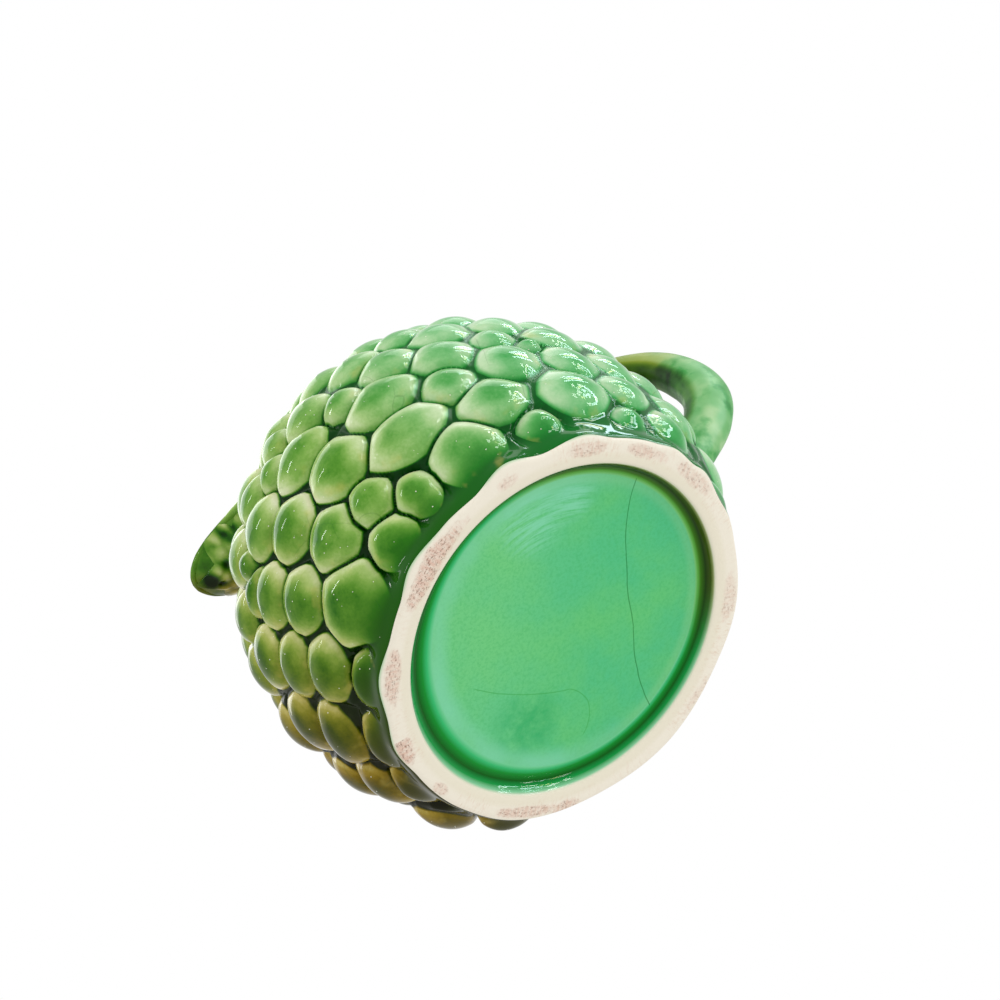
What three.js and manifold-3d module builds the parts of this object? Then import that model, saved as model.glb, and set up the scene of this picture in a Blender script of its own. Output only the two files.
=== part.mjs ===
// A round glazed ceramic jug whose body is a bunch of grapes, with a vine-leaf pouring lip
// and a branch handle. Millimetres, +Z up: the handle is on +X and the lip on -X.
// Turns are degrees counter-clockwise from the handle, latitudes are degrees above the body's middle.
import * as THREE from 'three';
import { ConvexHull } from 'three/addons/math/ConvexHull.js';
import { mergeVertices } from 'three/addons/utils/BufferGeometryUtils.js';
import Module from 'manifold-3d';

const wasm = await Module();
wasm.setup();

// Driving dimensions

const SEAT_GAP = 0.3; // slip line between a piece and the one it is bedded in
const ROUND = 48; // sides of the pieces turned on the jug's axis
const CLEAR = 5; // how far a cutting shape runs past what it cuts

const BODY_HEIGHT = 51.5; // middle of the round body above the table
const GRAPE_RADIUS = 78.4; // body's middle to the top of an average grape
const GRAPE_SIZE = 10; // half size of an average grape
const GRAPE_GAIN = 0.18; // how much further out a grape stands for each millimetre of size
const CREVICE_RADIUS = 73.2; // body's middle to the clay between the grapes
const CAVITY_RADIUS = 69.2; // body's middle to the inside wall
const CAVITY_SIDES = 32;
const CAVITY_STEPS = 11; // facets up the inside wall
const SHOULDER_SEAM = 84; // height of the seam between the bowl and the shoulder
const GRAPE_DEPTH = 4.6; // how deep a grape's dome goes down to its widest line
const DEPTH_SHARE = 0.95; // the same for a small grape, as a part of its half size
const DOME_SHARE = 0.84; // part of a grape's half size that its dome takes
const DOME_REACH = [0.8, 0.88]; // the same as limits on the way to the crevice
const DOME_STEEP = 0.9; // how near the dome comes to the grape's widest line
const SADDLE_RISE = 1; // clay between two grapes above the clay where three meet

const FOOT_HEIGHT = 4.6;
const FOOT_OUTER = 62; // mean of the foot's wavy outer edge
const FOOT_INNER = 54; // edge of the recess under the jug
const FLOOR_RADIUS = 48.6; // flat part of the recess
const FLOOR_SEAT = 54; // hole in the body that the floor disc closes
const FLOOR_TOP = 9.4;

// The foot's section, from the recess over the bare rim to the outside: radius, height
const FOOT_SECTION = [
  [FLOOR_RADIUS, FOOT_HEIGHT], [51.2, 4.2], [53, 2.9], [FOOT_INNER, 1.2], [55.4, 0.4],
  [57.6, 0], [FOOT_OUTER - 0.9, 0], [FOOT_OUTER, 0.8], [FOOT_OUTER + 0.3, FOOT_HEIGHT],
];

const NECK_BOTTOM = 109;
const NECK_TOP = 124;
const NECK_OUTER = 41;
const NECK_LEDGE = 38.7; // inner edge of the shoulder's ledge that the neck stands on
const MOUTH_RADIUS = 35.5;
const RIM_TOP = 128;

// The neck's section and the rounded rim's, up the outside and down the inside
const NECK_SECTION = [
  [NECK_OUTER, NECK_BOTTOM], [NECK_OUTER, NECK_BOTTOM + 3], [NECK_OUTER - 0.6, NECK_BOTTOM + 8],
  [NECK_OUTER - 0.2, NECK_TOP], [MOUTH_RADIUS + 1, NECK_TOP], [MOUTH_RADIUS, NECK_BOTTOM + 9],
  [MOUTH_RADIUS, NECK_BOTTOM + 5], [NECK_LEDGE, NECK_BOTTOM],
];
const RIM_SECTION = [
  [NECK_OUTER + 0.2, NECK_TOP], [NECK_OUTER + 0.9, NECK_TOP + 1.5],
  [NECK_OUTER + 0.4, NECK_TOP + 3.1], [NECK_OUTER - 1.3, RIM_TOP], [MOUTH_RADIUS + 2.3, RIM_TOP],
  [MOUTH_RADIUS + 1, NECK_TOP + 2.6], [MOUTH_RADIUS + 1, NECK_TOP],
];

const LIP_WALL = 3.4;
const LIP_SIDES = 12;
const LIP_FULLNESS = 0.8; // below 1 the lip's section is fuller than a half oval
const LIP_LEAST = 0.6; // half width and depth that the lip never goes under
const LIP_LEAF = 2.2; // thickness of the leaf let into the underside of the lip
const LIP_LEAF_PROUD = 0.8; // how far the leaf stands out of the lip
const LIP_LEAF_EDGE = 122.4; // height where the leaf's side lobes end
const LIP_LEAF_SIZE = 13.4; // middle to the tip of the middle lobe
const LIP_LEAF_PLACE = 56; // the leaf's middle, from the jug's axis
const LIP_LEAF_STRETCH = [0.86, 0.78]; // across the lip and along it
const VEIN_PROUD = 0.7; // how far a vein stands out of its leaf

// Outer edge of the foot, pushed in and out by the grapes above it: turn, radius
const FOOT_EDGE = [
  [5, 61.9], [25, 62.6], [45, 61.6], [70, 62.5], [97, 61.3], [125, 62.2], [145, 61.3],
  [165, 61], [178, 62.7], [187, 61.9], [200, 63.5], [212, 61.3], [221, 61.4], [232, 63.7],
  [245, 62], [256, 61.1], [267, 63.8], [279, 60.7], [292, 62.8], [302, 61.2], [316, 61.8],
  [324, 62.8], [332, 62.1], [337, 62.9], [348, 61.7], [356, 62.3],
];

// Grapes of the side away from the lip and the handle: turn, latitude, half width, half height
const FOOT_GRAPES = [
  [137, -31, 10.5, 7], [156, -33, 10.5, 6.5], [176, -34, 11.5, 5.5], [197, -34, 9.5, 5.5],
  [216, -28.5, 13, 11.5], [234.5, -31.5, 9, 8], [247.5, -29.5, 7.5, 7.5], [263.5, -30, 11.5, 10.5],
  [283.5, -32.5, 7, 6], [298, -25.5, 12, 10], [312, -32.5, 6.5, 5], [328, -30.5, 9.5, 7.5],
];
const LOW_GRAPES = [
  [138, -17, 11.5, 9], [156, -24, 12.5, 8.5], [176, -22.5, 13.5, 8.5], [196, -23.5, 11.5, 8.5],
  [227.5, -17.5, 11, 10], [239, -21, 8.5, 8], [256.5, -16.5, 14.5, 10], [277.5, -22, 11.5, 9.5],
  [315, -23, 10, 7.5], [335, -21, 11, 9.5], [156, -12, 12, 9], [174, -10, 12.5, 9.5],
  [192.5, -12.5, 11.5, 8.5], [210, -14, 11, 9.5], [241, -7.5, 12, 10.5], [272.5, -11.5, 9, 8.5],
  [288.5, -11.5, 10.5, 10], [297.5, -6, 5, 4], [304.5, -13.5, 10, 9.5], [319, -11.5, 10, 9],
  [334, -8, 11, 9.5],
];
const MIDDLE_GRAPES = [
  [149, -1, 11.5, 9.5], [165, 2, 12, 9.5], [189.5, -1, 11.5, 10], [206.5, -3, 11, 9.5],
  [223.5, -4, 11.5, 9.5], [259, -3, 13, 10], [277, -1, 10.5, 10], [291, -0.5, 7.5, 7],
  [307, -1, 11, 9.5], [324, 2, 11, 9.5], [147, 12, 11.5, 9.5], [163, 15, 10.5, 8.5],
  [180, 10, 11.5, 9.5], [193, 12.5, 10.5, 9.5], [204, 4.5, 9, 6.5], [208, 11, 6, 7],
  [218.5, 8.5, 11.5, 10.5], [230.5, 15, 7.5, 7], [237.5, 6, 12.5, 10], [253, 7, 8, 7.5],
  [267, 8, 10, 10], [283, 10.5, 10.5, 10], [297.5, 8.5, 10, 10], [313, 12, 10.5, 9.5],
  [328, 13, 10.5, 9.5], [342.5, 13, 10.5, 8.5],
];
const HIGH_GRAPES = [
  [139, 23, 10.5, 9], [156, 25, 10, 8.5], [178, 22, 11.5, 10], [205, 21.5, 10, 10],
  [221, 21.5, 9.5, 8.5], [235.5, 24, 7.5, 9.5], [246, 17, 10, 11], [263, 18.5, 10.5, 10],
  [277, 20, 9.5, 9.5], [293, 21, 10, 10], [309, 22.5, 9.5, 9], [325.5, 24, 10, 8.5],
  [342, 23.5, 10, 8.5],
];
const FAR_SIDE = [163, 318]; // the turns that are repeated, half a turn on

// Rows that close in on the neck: latitude, number of grapes, half height
const SHOULDER_ROWS = [
  [32, 20, 9],
  [41.5, 18, 9],
  [50.5, 15, 8],
];
const TURN_SHUFFLE = 0.24; // how much the grapes of a row are shifted, in places of the row
const WIDTH_SHUFFLE = 0.12; // how much their widths differ
const LATITUDE_SHUFFLE = 1.6;

// Bare clay under the foot row and inside the neck, which the cuts take away again:
// latitude, number
const BARE_ROWS = [
  [-52, 14],
  [-72, 6],
  [66, 12],
  [80, 5],
];
const BARE_SIZE = 14;

// Branch handle: distance from the jug's axis, height, half width
const HANDLE_PATH = [
  [33, 118, 7.6], [42, 117.6, 6.8], [55, 116, 6.1], [70, 112, 6.2], [86, 103.3, 6.5],
  [97.5, 91.3, 6.8], [102.6, 77, 7.1], [99.7, 62.8, 7.1], [91, 51.8, 7.1], [78, 43, 7.4],
  [66, 37.6, 8.6],
];
const HANDLE_FLATNESS = 0.88; // thickness over width
const HANDLE_SIDES = 12;
const HANDLE_STEPS = 28;
const BARK_DEPTH = 0.035; // swell of the branch's three flutes, as a part of its width
const BARK_TWIST = 0.55; // how far the flutes turn from one step to the next

// Pouring lip: distance from the axis, half width, height of the underside and of the edge
const LIP_SECTIONS = [
  [32, 17.4, 117, 128], [41, 17.4, 117, 128], [47, 15.9, 117.2, 127], [53, 14.2, 117.7, 126.2],
  [59, 12, 118.4, 125.5], [64, 9, 119.6, 125.2], [67.4, 5.3, 121.2, 125.1], [69.1, 1.8, 123, 125],
];

// Vine leaves on the shoulder: name, turn and latitude of the leaf's middle, slant
const SHOULDER_LEAVES = [
  ['left_leaf', 300, 51, 14],
  ['right_leaf', 72, 50, -12],
  ['back_leaf', 128, 50, 10],
];
const LEAF_TOP = 81; // body's middle to the leaf's upper face
const LEAF_THICKNESS = 3;
const LEAF_EDGE = 1.4; // thickness at the leaf's edge
const LEAF_SIZE = 22; // middle to the tip of the middle lobe
const LEAF_POINTS = 24;

// Lobes of a vine leaf: turn from the tip, reach as a part of the leaf's size
const LEAF_LOBES = [
  [0, 1],
  [60, 0.93],
  [-60, 0.93],
  [120, 0.82],
  [-120, 0.82],
];
const LEAF_HEART = 0.52; // reach of the blade between the lobes
const LOBE_SPREAD = 25; // degrees from a lobe's tip to where it has mostly narrowed
const VEIN_REACH = 0.86; // how far along its lobe a vein runs

const GREEN = 0x4f9a52;
const DEEP_GREEN = 0x2f7d3c;
const PALE_GREEN = 0x5fc27e;
const CREAM = 0xe9e0d0;

// Solids

const radians = THREE.MathUtils.degToRad;

// A closed three.js geometry as a solid that can be joined and cut.
function solid(geometry) {
  const bare = geometry.clone();
  bare.deleteAttribute('normal');
  bare.deleteAttribute('uv');
  const merged = mergeVertices(bare, 1e-3);
  const index = [...merged.index.array];
  const faces = [];
  for (let i = 0; i < index.length; i += 3) {
    const [a, b, c] = index.slice(i, i + 3);
    if (a !== b && b !== c && c !== a) faces.push(a, b, c);
  }
  return new wasm.Manifold(new wasm.Mesh({
    numProp: 3,
    vertProperties: merged.attributes.position.array,
    triVerts: new Uint32Array(faces),
  }));
}

function joined(solids) {
  return solids.reduce((whole, next) => whole.add(next));
}

// A section of radius and height pairs, turned round the jug's axis. One that doesn't start
// on the axis is closed to a ring.
function lathe(section, sides) {
  const closed = section[0][0] === 0 ? section : [...section, section[0]];
  const points = closed.map(([radius, height]) => new THREE.Vector2(radius, height));
  return new THREE.LatheGeometry(points, sides).rotateX(Math.PI / 2);
}

function turned(section, sides = ROUND) {
  return solid(lathe(section, sides));
}

// A solid disc about the jug's axis between two heights.
function disc(radius, low, high) {
  return turned([[0, low], [radius, low], [radius, high], [0, high]]);
}

// Everything above a height (side 1) or below it (side -1).
function halfSpace(height, side) {
  const size = 4 * GRAPE_RADIUS;
  return solid(new THREE.BoxGeometry(size, size, size).translate(0, 0, height + (side * size) / 2));
}

// Points of an arc about the body's middle, from one latitude to another.
function bodyArc(radius, from, to, steps) {
  return Array.from({ length: steps + 1 }, (_, i) => {
    const latitude = radians(from + ((to - from) * i) / steps);
    return [radius * Math.cos(latitude), BODY_HEIGHT + radius * Math.sin(latitude)];
  });
}

// Latitude where a sphere about the body's middle has the given distance from the axis.
function latitudeAt(radius, distance) {
  return THREE.MathUtils.radToDeg(Math.acos(distance / radius));
}

// A skin through rings of points, closed at both ends. Each ring runs counter-clockwise
// seen from the last ring.
function loft(rings) {
  const sides = rings[0].length;
  const last = (rings.length - 1) * sides;
  const faces = [];
  for (let start = 0; start < last; start += sides) {
    for (let s = 0; s < sides; s++) {
      const a = start + s;
      const b = start + ((s + 1) % sides);
      faces.push(a, b, a + sides, b, b + sides, a + sides);
    }
  }
  for (let s = 1; s < sides - 1; s++) {
    faces.push(0, s + 1, s);
    faces.push(last, last + s, last + s + 1);
  }
  const geometry = new THREE.BufferGeometry().setFromPoints(rings.flat());
  geometry.setIndex(faces);
  return solid(geometry);
}

// Directions at a place on the body: out of it, round it and up it.
function bodyFrame(turn, latitude) {
  const t = radians(turn);
  const l = radians(latitude);
  return {
    out: new THREE.Vector3(Math.cos(l) * Math.cos(t), Math.cos(l) * Math.sin(t), Math.sin(l)),
    round: new THREE.Vector3(-Math.sin(t), Math.cos(t), 0),
    up: new THREE.Vector3(-Math.sin(l) * Math.cos(t), -Math.sin(l) * Math.sin(t), Math.cos(l)),
  };
}

// The point in a direction from the body's middle.
function onBody(direction, radius) {
  return direction.clone().multiplyScalar(radius).add(new THREE.Vector3(0, 0, BODY_HEIGHT));
}

// A number from 0 to 1 that looks random and is the same each time.
function wobble(seed) {
  const value = Math.sin(seed * 127.1 + 11.7) * 43758.5453;
  return value - Math.floor(value);
}

// Foot and floor

function footEdge(turn) {
  const at = THREE.MathUtils.euclideanModulo(turn, 360);
  const after = FOOT_EDGE.findIndex(([edgeTurn]) => edgeTurn > at);
  const next = FOOT_EDGE[Math.max(after, 0)];
  const last = FOOT_EDGE.at(Math.max(after, 0) - 1);
  const span = THREE.MathUtils.euclideanModulo(next[0] - last[0], 360);
  const along = THREE.MathUtils.euclideanModulo(at - last[0], 360) / span;
  return THREE.MathUtils.lerp(last[1], next[1], THREE.MathUtils.smoothstep(along, 0, 1));
}

// The foot ring, turned first and then pushed out to its wavy outer edge.
function footRing() {
  const ring = lathe(FOOT_SECTION, ROUND);
  const place = ring.attributes.position;
  for (let i = 0; i < place.count; i++) {
    const radius = Math.hypot(place.getX(i), place.getY(i));
    const turn = THREE.MathUtils.radToDeg(Math.atan2(place.getY(i), place.getX(i)));
    const share = THREE.MathUtils.smoothstep(radius, FOOT_INNER + 2, FOOT_OUTER - 1);
    const wave = footEdge(Math.round(turn * 10) / 10) - FOOT_OUTER;
    const moved = 1 + (share * wave) / radius;
    place.setXY(i, place.getX(i) * moved, place.getY(i) * moved);
  }
  return solid(ring);
}

function baseFloor() {
  return disc(FLOOR_SEAT - SEAT_GAP, FOOT_HEIGHT, FLOOR_TOP);
}

// Body

// A grape as a place on the body, with its half sizes and the height of its top.
function grape([turn, latitude, halfWidth, halfHeight]) {
  const size = (halfWidth + halfHeight) / 2;
  const top = GRAPE_RADIUS + GRAPE_GAIN * (size - GRAPE_SIZE);
  const depth = Math.min(GRAPE_DEPTH, size * DEPTH_SHARE);
  return { ...bodyFrame(turn, latitude), halfWidth, halfHeight, top, depth };
}

function bareCell(turn, latitude) {
  return {
    ...bodyFrame(turn, latitude),
    halfWidth: BARE_SIZE,
    halfHeight: BARE_SIZE,
    top: CREVICE_RADIUS,
    depth: 0,
  };
}

// How far a grape reaches towards a point, across its oval face.
function reach(from, point) {
  const across = from.round.dot(point);
  const along = from.up.dot(point);
  const length = Math.hypot(across, along);
  return length / Math.hypot(across / from.halfWidth, along / from.halfHeight);
}

// The point where a grape's dome turns down, on the way towards a crevice point.
function domePoint(from, crevice) {
  const away = crevice.clone().addScaledVector(from.out, -crevice.dot(from.out));
  const edge = Math.atan2(away.length(), crevice.dot(from.out)) * GRAPE_RADIUS;
  const full = reach(from, crevice);
  const [nearest, farthest] = DOME_REACH;
  const distance = THREE.MathUtils.clamp(DOME_SHARE * full, nearest * edge, farthest * edge);
  const share = Math.min(distance / full, DOME_STEEP);
  const direction = from.out.clone().multiplyScalar(GRAPE_RADIUS)
    .addScaledVector(away.normalize(), distance).normalize();
  const drop = from.depth * (1 - Math.sqrt(1 - share * share));
  return onBody(direction, from.top - drop);
}

// The outer skin of the bunch. Every three grapes that meet share a low point, every two
// share a saddle, and each grape rises from them to its top.
function bunchSkin(grapes) {
  const hull = new ConvexHull().setFromPoints(grapes.map(({ out }) => out));
  const owner = new Map(grapes.map((each) => [each.out, each]));
  const points = [];
  const between = (a, b) => {
    const share = reach(a, b.out) / (reach(a, b.out) + reach(b, a.out));
    return a.out.clone().lerp(b.out, share).normalize();
  };
  for (const face of hull.faces) {
    const three = [0, 1, 2].map((i) => owner.get(face.getEdge(i).head().point));
    const low = three.reduce((sum, each) => {
      const weight = 1 / (each.halfWidth + each.halfHeight);
      return sum.addScaledVector(each.out, weight);
    }, new THREE.Vector3()).normalize();
    three.forEach((each, i) => {
      const next = three[(i + 1) % 3];
      const last = three[(i + 2) % 3];
      const saddleRadius = CREVICE_RADIUS + SADDLE_RISE;
      const rim = [between(each, next), low, between(each, last)];
      const outer = [
        onBody(rim[0], saddleRadius), onBody(low, CREVICE_RADIUS), onBody(rim[2], saddleRadius),
      ];
      const dome = rim.map((crevice) => domePoint(each, crevice));
      const top = onBody(each.out, each.top);
      for (const [a, b] of [[0, 1], [1, 2]]) {
        points.push(outer[a], outer[b], dome[a], dome[a], outer[b], dome[b], dome[a], dome[b], top);
      }
    });
  }
  return solid(new THREE.BufferGeometry().setFromPoints(points));
}

// The side that faces front again on the far side, so that the bunch goes all round.
function farSide(grapes) {
  const [from, to] = FAR_SIDE;
  return grapes
    .filter(([turn]) => turn > from && turn < to)
    .map(([turn, ...rest]) => [turn + 180, ...rest]);
}

function shoulderGrapes() {
  return SHOULDER_ROWS.flatMap(([latitude, count, halfHeight], row) => {
    const girth = 2 * Math.PI * GRAPE_RADIUS * Math.cos(radians(latitude));
    return Array.from({ length: count }, (_, i) => {
      const seed = row * 40 + i;
      const turn = ((i + 0.5 * (row % 2) + TURN_SHUFFLE * wobble(seed)) * 360) / count;
      const widen = 1 + WIDTH_SHUFFLE * (wobble(seed + 7) - 0.5);
      const lift = LATITUDE_SHUFFLE * (wobble(seed + 13) - 0.5);
      return [turn, latitude + lift, (girth / count / 2) * widen, halfHeight];
    });
  });
}

function grapeBody() {
  const front = [...FOOT_GRAPES, ...LOW_GRAPES, ...MIDDLE_GRAPES, ...HIGH_GRAPES];
  const grapes = [...front, ...farSide(front), ...shoulderGrapes()].map(grape);
  const bare = BARE_ROWS.flatMap(([latitude, count]) =>
    Array.from({ length: count }, (_, i) => bareCell((i * 360) / count + 3, latitude)));
  const cavity = turned([
    [0, 0], [FLOOR_SEAT, 0],
    ...bodyArc(CAVITY_RADIUS, -latitudeAt(CAVITY_RADIUS, FLOOR_SEAT),
      latitudeAt(CAVITY_RADIUS, NECK_LEDGE), CAVITY_STEPS),
    [NECK_LEDGE, RIM_TOP], [0, RIM_TOP],
  ], CAVITY_SIDES);
  return bunchSkin([...grapes, ...bare])
    .subtract(halfSpace(FOOT_HEIGHT, -1))
    .subtract(neckRoom(NECK_BOTTOM))
    .subtract(cavity);
}

// Neck and rim

// The room round the neck from a height up, which the body, the handle and the leaves end at.
function neckRoom(low) {
  return disc(NECK_OUTER + SEAT_GAP, low, RIM_TOP + CLEAR);
}

// Pouring lip

// The lip as a solid boat, with its outside moved in by inset (out when negative) and its
// open side raised by rise.
function lipHull(inset, rise) {
  return loft(LIP_SECTIONS.map(([distance, halfWidth, underside, edge], i) => {
    const along = i === 0 ? distance : distance - inset;
    const width = Math.max(halfWidth - inset, LIP_LEAST);
    const depth = Math.max(edge - underside - inset, LIP_LEAST);
    const keel = Array.from({ length: LIP_SIDES + 1 }, (_, k) => {
      const angle = (Math.PI * k) / LIP_SIDES;
      return new THREE.Vector3(
        -along, width * Math.cos(angle), edge - depth * Math.sin(angle) ** LIP_FULLNESS);
    });
    return [
      new THREE.Vector3(-along, width, edge + rise), ...keel,
      new THREE.Vector3(-along, -width, edge + rise),
    ];
  }));
}

// A shell of the lip's outside, from so far out of it to so far into it.
function lipLayer(out, into) {
  return lipHull(-out, 0).subtract(lipHull(into, 1));
}

// An outline in the leaf's own millimetres, pressed up through the lip from below.
function lipStamp(outline) {
  const [across, along] = LIP_LEAF_STRETCH;
  const points = outline.map(([x, y]) =>
    new THREE.Vector2(-LIP_LEAF_PLACE - y * along, x * across));
  return solid(new THREE.ExtrudeGeometry(new THREE.Shape(points), {
    depth: RIM_TOP - NECK_BOTTOM + CLEAR, bevelEnabled: false,
  }).translate(0, 0, NECK_BOTTOM - CLEAR));
}

// The leaf under the lip, with a rib along each lobe.
function lipLeaf() {
  const blade = lipLayer(LIP_LEAF_PROUD, LIP_LEAF - LIP_LEAF_PROUD)
    .intersect(lipStamp(leafOutline(LIP_LEAF_SIZE, 0)));
  const ribs = joined(LEAF_LOBES.map(([lobe, reach]) =>
    lipStamp(veinOutline(lobe, LIP_LEAF_SIZE * reach * VEIN_REACH))));
  return lipLayer(LIP_LEAF_PROUD + VEIN_PROUD, 0).intersect(ribs).add(blade)
    .intersect(halfSpace(LIP_LEAF_EDGE, -1));
}

function pouringLip() {
  const leafSeat = lipLayer(CLEAR, LIP_LEAF - LIP_LEAF_PROUD + SEAT_GAP)
    .intersect(lipStamp(leafOutline(LIP_LEAF_SIZE, SEAT_GAP)));
  return lipHull(0, 0.6)
    .subtract(lipHull(LIP_WALL, CLEAR))
    .subtract(disc(MOUTH_RADIUS + 0.6, NECK_BOTTOM - CLEAR, RIM_TOP + CLEAR))
    .subtract(leafSeat);
}

// Leaves

// A five-lobed vine leaf about its middle, tip along +Y, widened all round by margin.
function leafOutline(size, margin) {
  return Array.from({ length: LEAF_POINTS }, (_, i) => {
    const turn = (360 * i) / LEAF_POINTS;
    const reaches = LEAF_LOBES.map(([lobe, reach]) => {
      const away = THREE.MathUtils.euclideanModulo(turn - lobe + 180, 360) - 180;
      const narrowed = Math.exp(-((Math.abs(away) / LOBE_SPREAD) ** 1.5));
      return LEAF_HEART + (reach - LEAF_HEART) * narrowed;
    });
    return along(turn, size * Math.max(...reaches) + margin);
  });
}

// The place so far from a leaf's middle, a given turn from its tip.
function along(turn, distance) {
  return [distance * Math.sin(radians(turn)), distance * Math.cos(radians(turn))];
}

// A rib from a leaf's middle along a lobe, narrowing to its end.
function veinOutline(lobe, length) {
  return [along(lobe - 180, 1), along(lobe + 40, 1.2), along(lobe, length), along(lobe - 40, 1.2)];
}

// The body's direction a given way along a leaf that lies on it.
function leafDirection(frame, slant, across, down) {
  const tip = frame.up.clone().multiplyScalar(-Math.cos(radians(slant)))
    .addScaledVector(frame.round, Math.sin(radians(slant)));
  const side = new THREE.Vector3().crossVectors(frame.out, tip);
  return frame.out.clone().multiplyScalar(LEAF_TOP)
    .addScaledVector(side, across).addScaledVector(tip, down).normalize();
}

// Rings of a leaf bent over the body: the outline drawn in by a share, at a radius.
function leafRings(turn, latitude, slant, margin, rings) {
  const frame = bodyFrame(turn, latitude);
  const outline = leafOutline(LEAF_SIZE, margin);
  return loft(rings.map(([share, radius]) => outline.map(([across, down]) =>
    onBody(leafDirection(frame, slant, across * share, down * share), radius))));
}

// A rib on a shoulder leaf, four-sided and sharp along its top.
function leafRib(frame, slant, lobe, length) {
  const stations = [[-1, 0.3], [0.1 * length, 1], [0.5 * length, 0.8], [length, 0.3]];
  const at = (distance) => leafDirection(frame, slant, ...along(lobe, distance));
  const side = new THREE.Vector3().crossVectors(at(0), at(length)).normalize();
  return loft(stations.map(([distance, size]) => [
    onBody(at(distance), LEAF_TOP + VEIN_PROUD * size),
    onBody(at(distance), LEAF_TOP - 0.5).addScaledVector(side, -1.3 * size),
    onBody(at(distance), LEAF_TOP - 1),
    onBody(at(distance), LEAF_TOP - 0.5).addScaledVector(side, 1.3 * size),
  ]));
}

function shoulderLeaf(turn, latitude, slant) {
  const under = LEAF_TOP - LEAF_THICKNESS;
  const blade = leafRings(turn, latitude, slant, 0, [
    [0.05, under], [1, under], [1, under + LEAF_EDGE], [0.78, LEAF_TOP - 0.3], [0.05, LEAF_TOP],
  ]);
  const frame = bodyFrame(turn, latitude);
  const ribs = LEAF_LOBES.map(([lobe, reach]) =>
    leafRib(frame, slant, lobe, LEAF_SIZE * reach * VEIN_REACH));
  return joined([blade, ...ribs]).subtract(neckRoom(NECK_BOTTOM - 4 * CLEAR));
}

function leafSeat(turn, latitude, slant) {
  const under = LEAF_TOP - LEAF_THICKNESS - SEAT_GAP;
  const over = LEAF_TOP + CLEAR;
  return leafRings(turn, latitude, slant, SEAT_GAP, [
    [0.05, under], [1, under], [1, over], [0.05, over],
  ]);
}

// Handle

// The branch as a tube of changing width, thickened all round by extra.
function branch(extra) {
  const path = new THREE.CatmullRomCurve3(
    HANDLE_PATH.map(([distance, height]) => new THREE.Vector3(distance, 0, height)), false,
    'centripetal');
  const rings = Array.from({ length: HANDLE_STEPS + 1 }, (_, i) => {
    const along = (i / HANDLE_STEPS) * (HANDLE_PATH.length - 1);
    const knot = Math.min(Math.floor(along), HANDLE_PATH.length - 2);
    const halfWidth = THREE.MathUtils.lerp(
      HANDLE_PATH[knot][2], HANDLE_PATH[knot + 1][2], along - knot);
    const middle = path.getPoint(i / HANDLE_STEPS);
    const ahead = path.getTangent(i / HANDLE_STEPS);
    const away = new THREE.Vector3(ahead.z, 0, -ahead.x);
    return Array.from({ length: HANDLE_SIDES }, (_, s) => {
      const angle = (2 * Math.PI * s) / HANDLE_SIDES;
      const bark = 1 + BARK_DEPTH * Math.cos(3 * angle + BARK_TWIST * i);
      return middle.clone()
        .addScaledVector(away, Math.cos(angle) * (halfWidth * HANDLE_FLATNESS * bark + extra))
        .add(new THREE.Vector3(0, Math.sin(angle) * (halfWidth * bark + extra), 0));
    });
  });
  return loft(rings);
}

// The round body up to a radius, which ends the handle and its bed.
function bodyBall(radius) {
  return turned(bodyArc(radius, -90, 90, 32).map(([distance, height], i) =>
    [i === 0 || i === 32 ? 0 : distance, height]));
}

function handle() {
  return branch(0)
    .subtract(neckRoom(NECK_BOTTOM - 4 * CLEAR))
    .subtract(bodyBall(CREVICE_RADIUS));
}

// Where the handle is bedded among the grapes, down to just under its end.
function handleSeat() {
  return branch(SEAT_GAP).subtract(bodyBall(CREVICE_RADIUS - SEAT_GAP));
}

// Assembly

function piece(name, form, color, roughness) {
  const { numProp, vertProperties, triVerts } = form.getMesh();
  const geometry = new THREE.BufferGeometry();
  geometry.setAttribute('position', new THREE.BufferAttribute(vertProperties, numProp));
  geometry.setIndex(new THREE.BufferAttribute(triVerts, 1));
  const material = new THREE.MeshStandardMaterial({ color, roughness, metalness: 0 });
  const mesh = new THREE.Mesh(geometry, material);
  mesh.name = name;
  return mesh;
}

const lipSeat = lipHull(-SEAT_GAP, CLEAR);
const lipLeafSeat = lipHull(-SEAT_GAP - LIP_LEAF_PROUD - VEIN_PROUD, CLEAR);
const leafSeats = SHOULDER_LEAVES.map(([, ...place]) => leafSeat(...place));
const body = [handleSeat(), lipLeafSeat, ...leafSeats]
  .reduce((form, seat) => form.subtract(seat), grapeBody());

const jug = new THREE.Group();
jug.add(
  piece('foot_ring', footRing(), CREAM, 0.75),
  piece('base_floor', baseFloor(), PALE_GREEN, 0.15),
  piece('grape_body', body.subtract(halfSpace(SHOULDER_SEAM, 1)), GREEN, 0.15),
  piece('grape_shoulder', body.subtract(halfSpace(SHOULDER_SEAM + SEAT_GAP, -1)), GREEN, 0.15),
  piece('neck', turned(NECK_SECTION).subtract(lipSeat), DEEP_GREEN, 0.15),
  piece('mouth_rim', turned(RIM_SECTION).subtract(lipSeat), DEEP_GREEN, 0.15),
  piece('pouring_lip', pouringLip(), GREEN, 0.15),
  piece('lip_leaf', lipLeaf(), GREEN, 0.15),
  piece('handle', handle(), DEEP_GREEN, 0.15),
);
for (const [name, ...place] of SHOULDER_LEAVES) {
  jug.add(piece(name, shoulderLeaf(...place), DEEP_GREEN, 0.15));
}

// The origin is under the middle of the jug's bounding box, at table height.
const extent = new THREE.Box3().setFromObject(jug);
const middle = extent.getCenter(new THREE.Vector3());
jug.position.set(-middle.x, -middle.y, -extent.min.z);

export default jug;
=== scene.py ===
import math

import bmesh
import bpy
import numpy as np
from mathutils import Matrix, Vector


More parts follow.
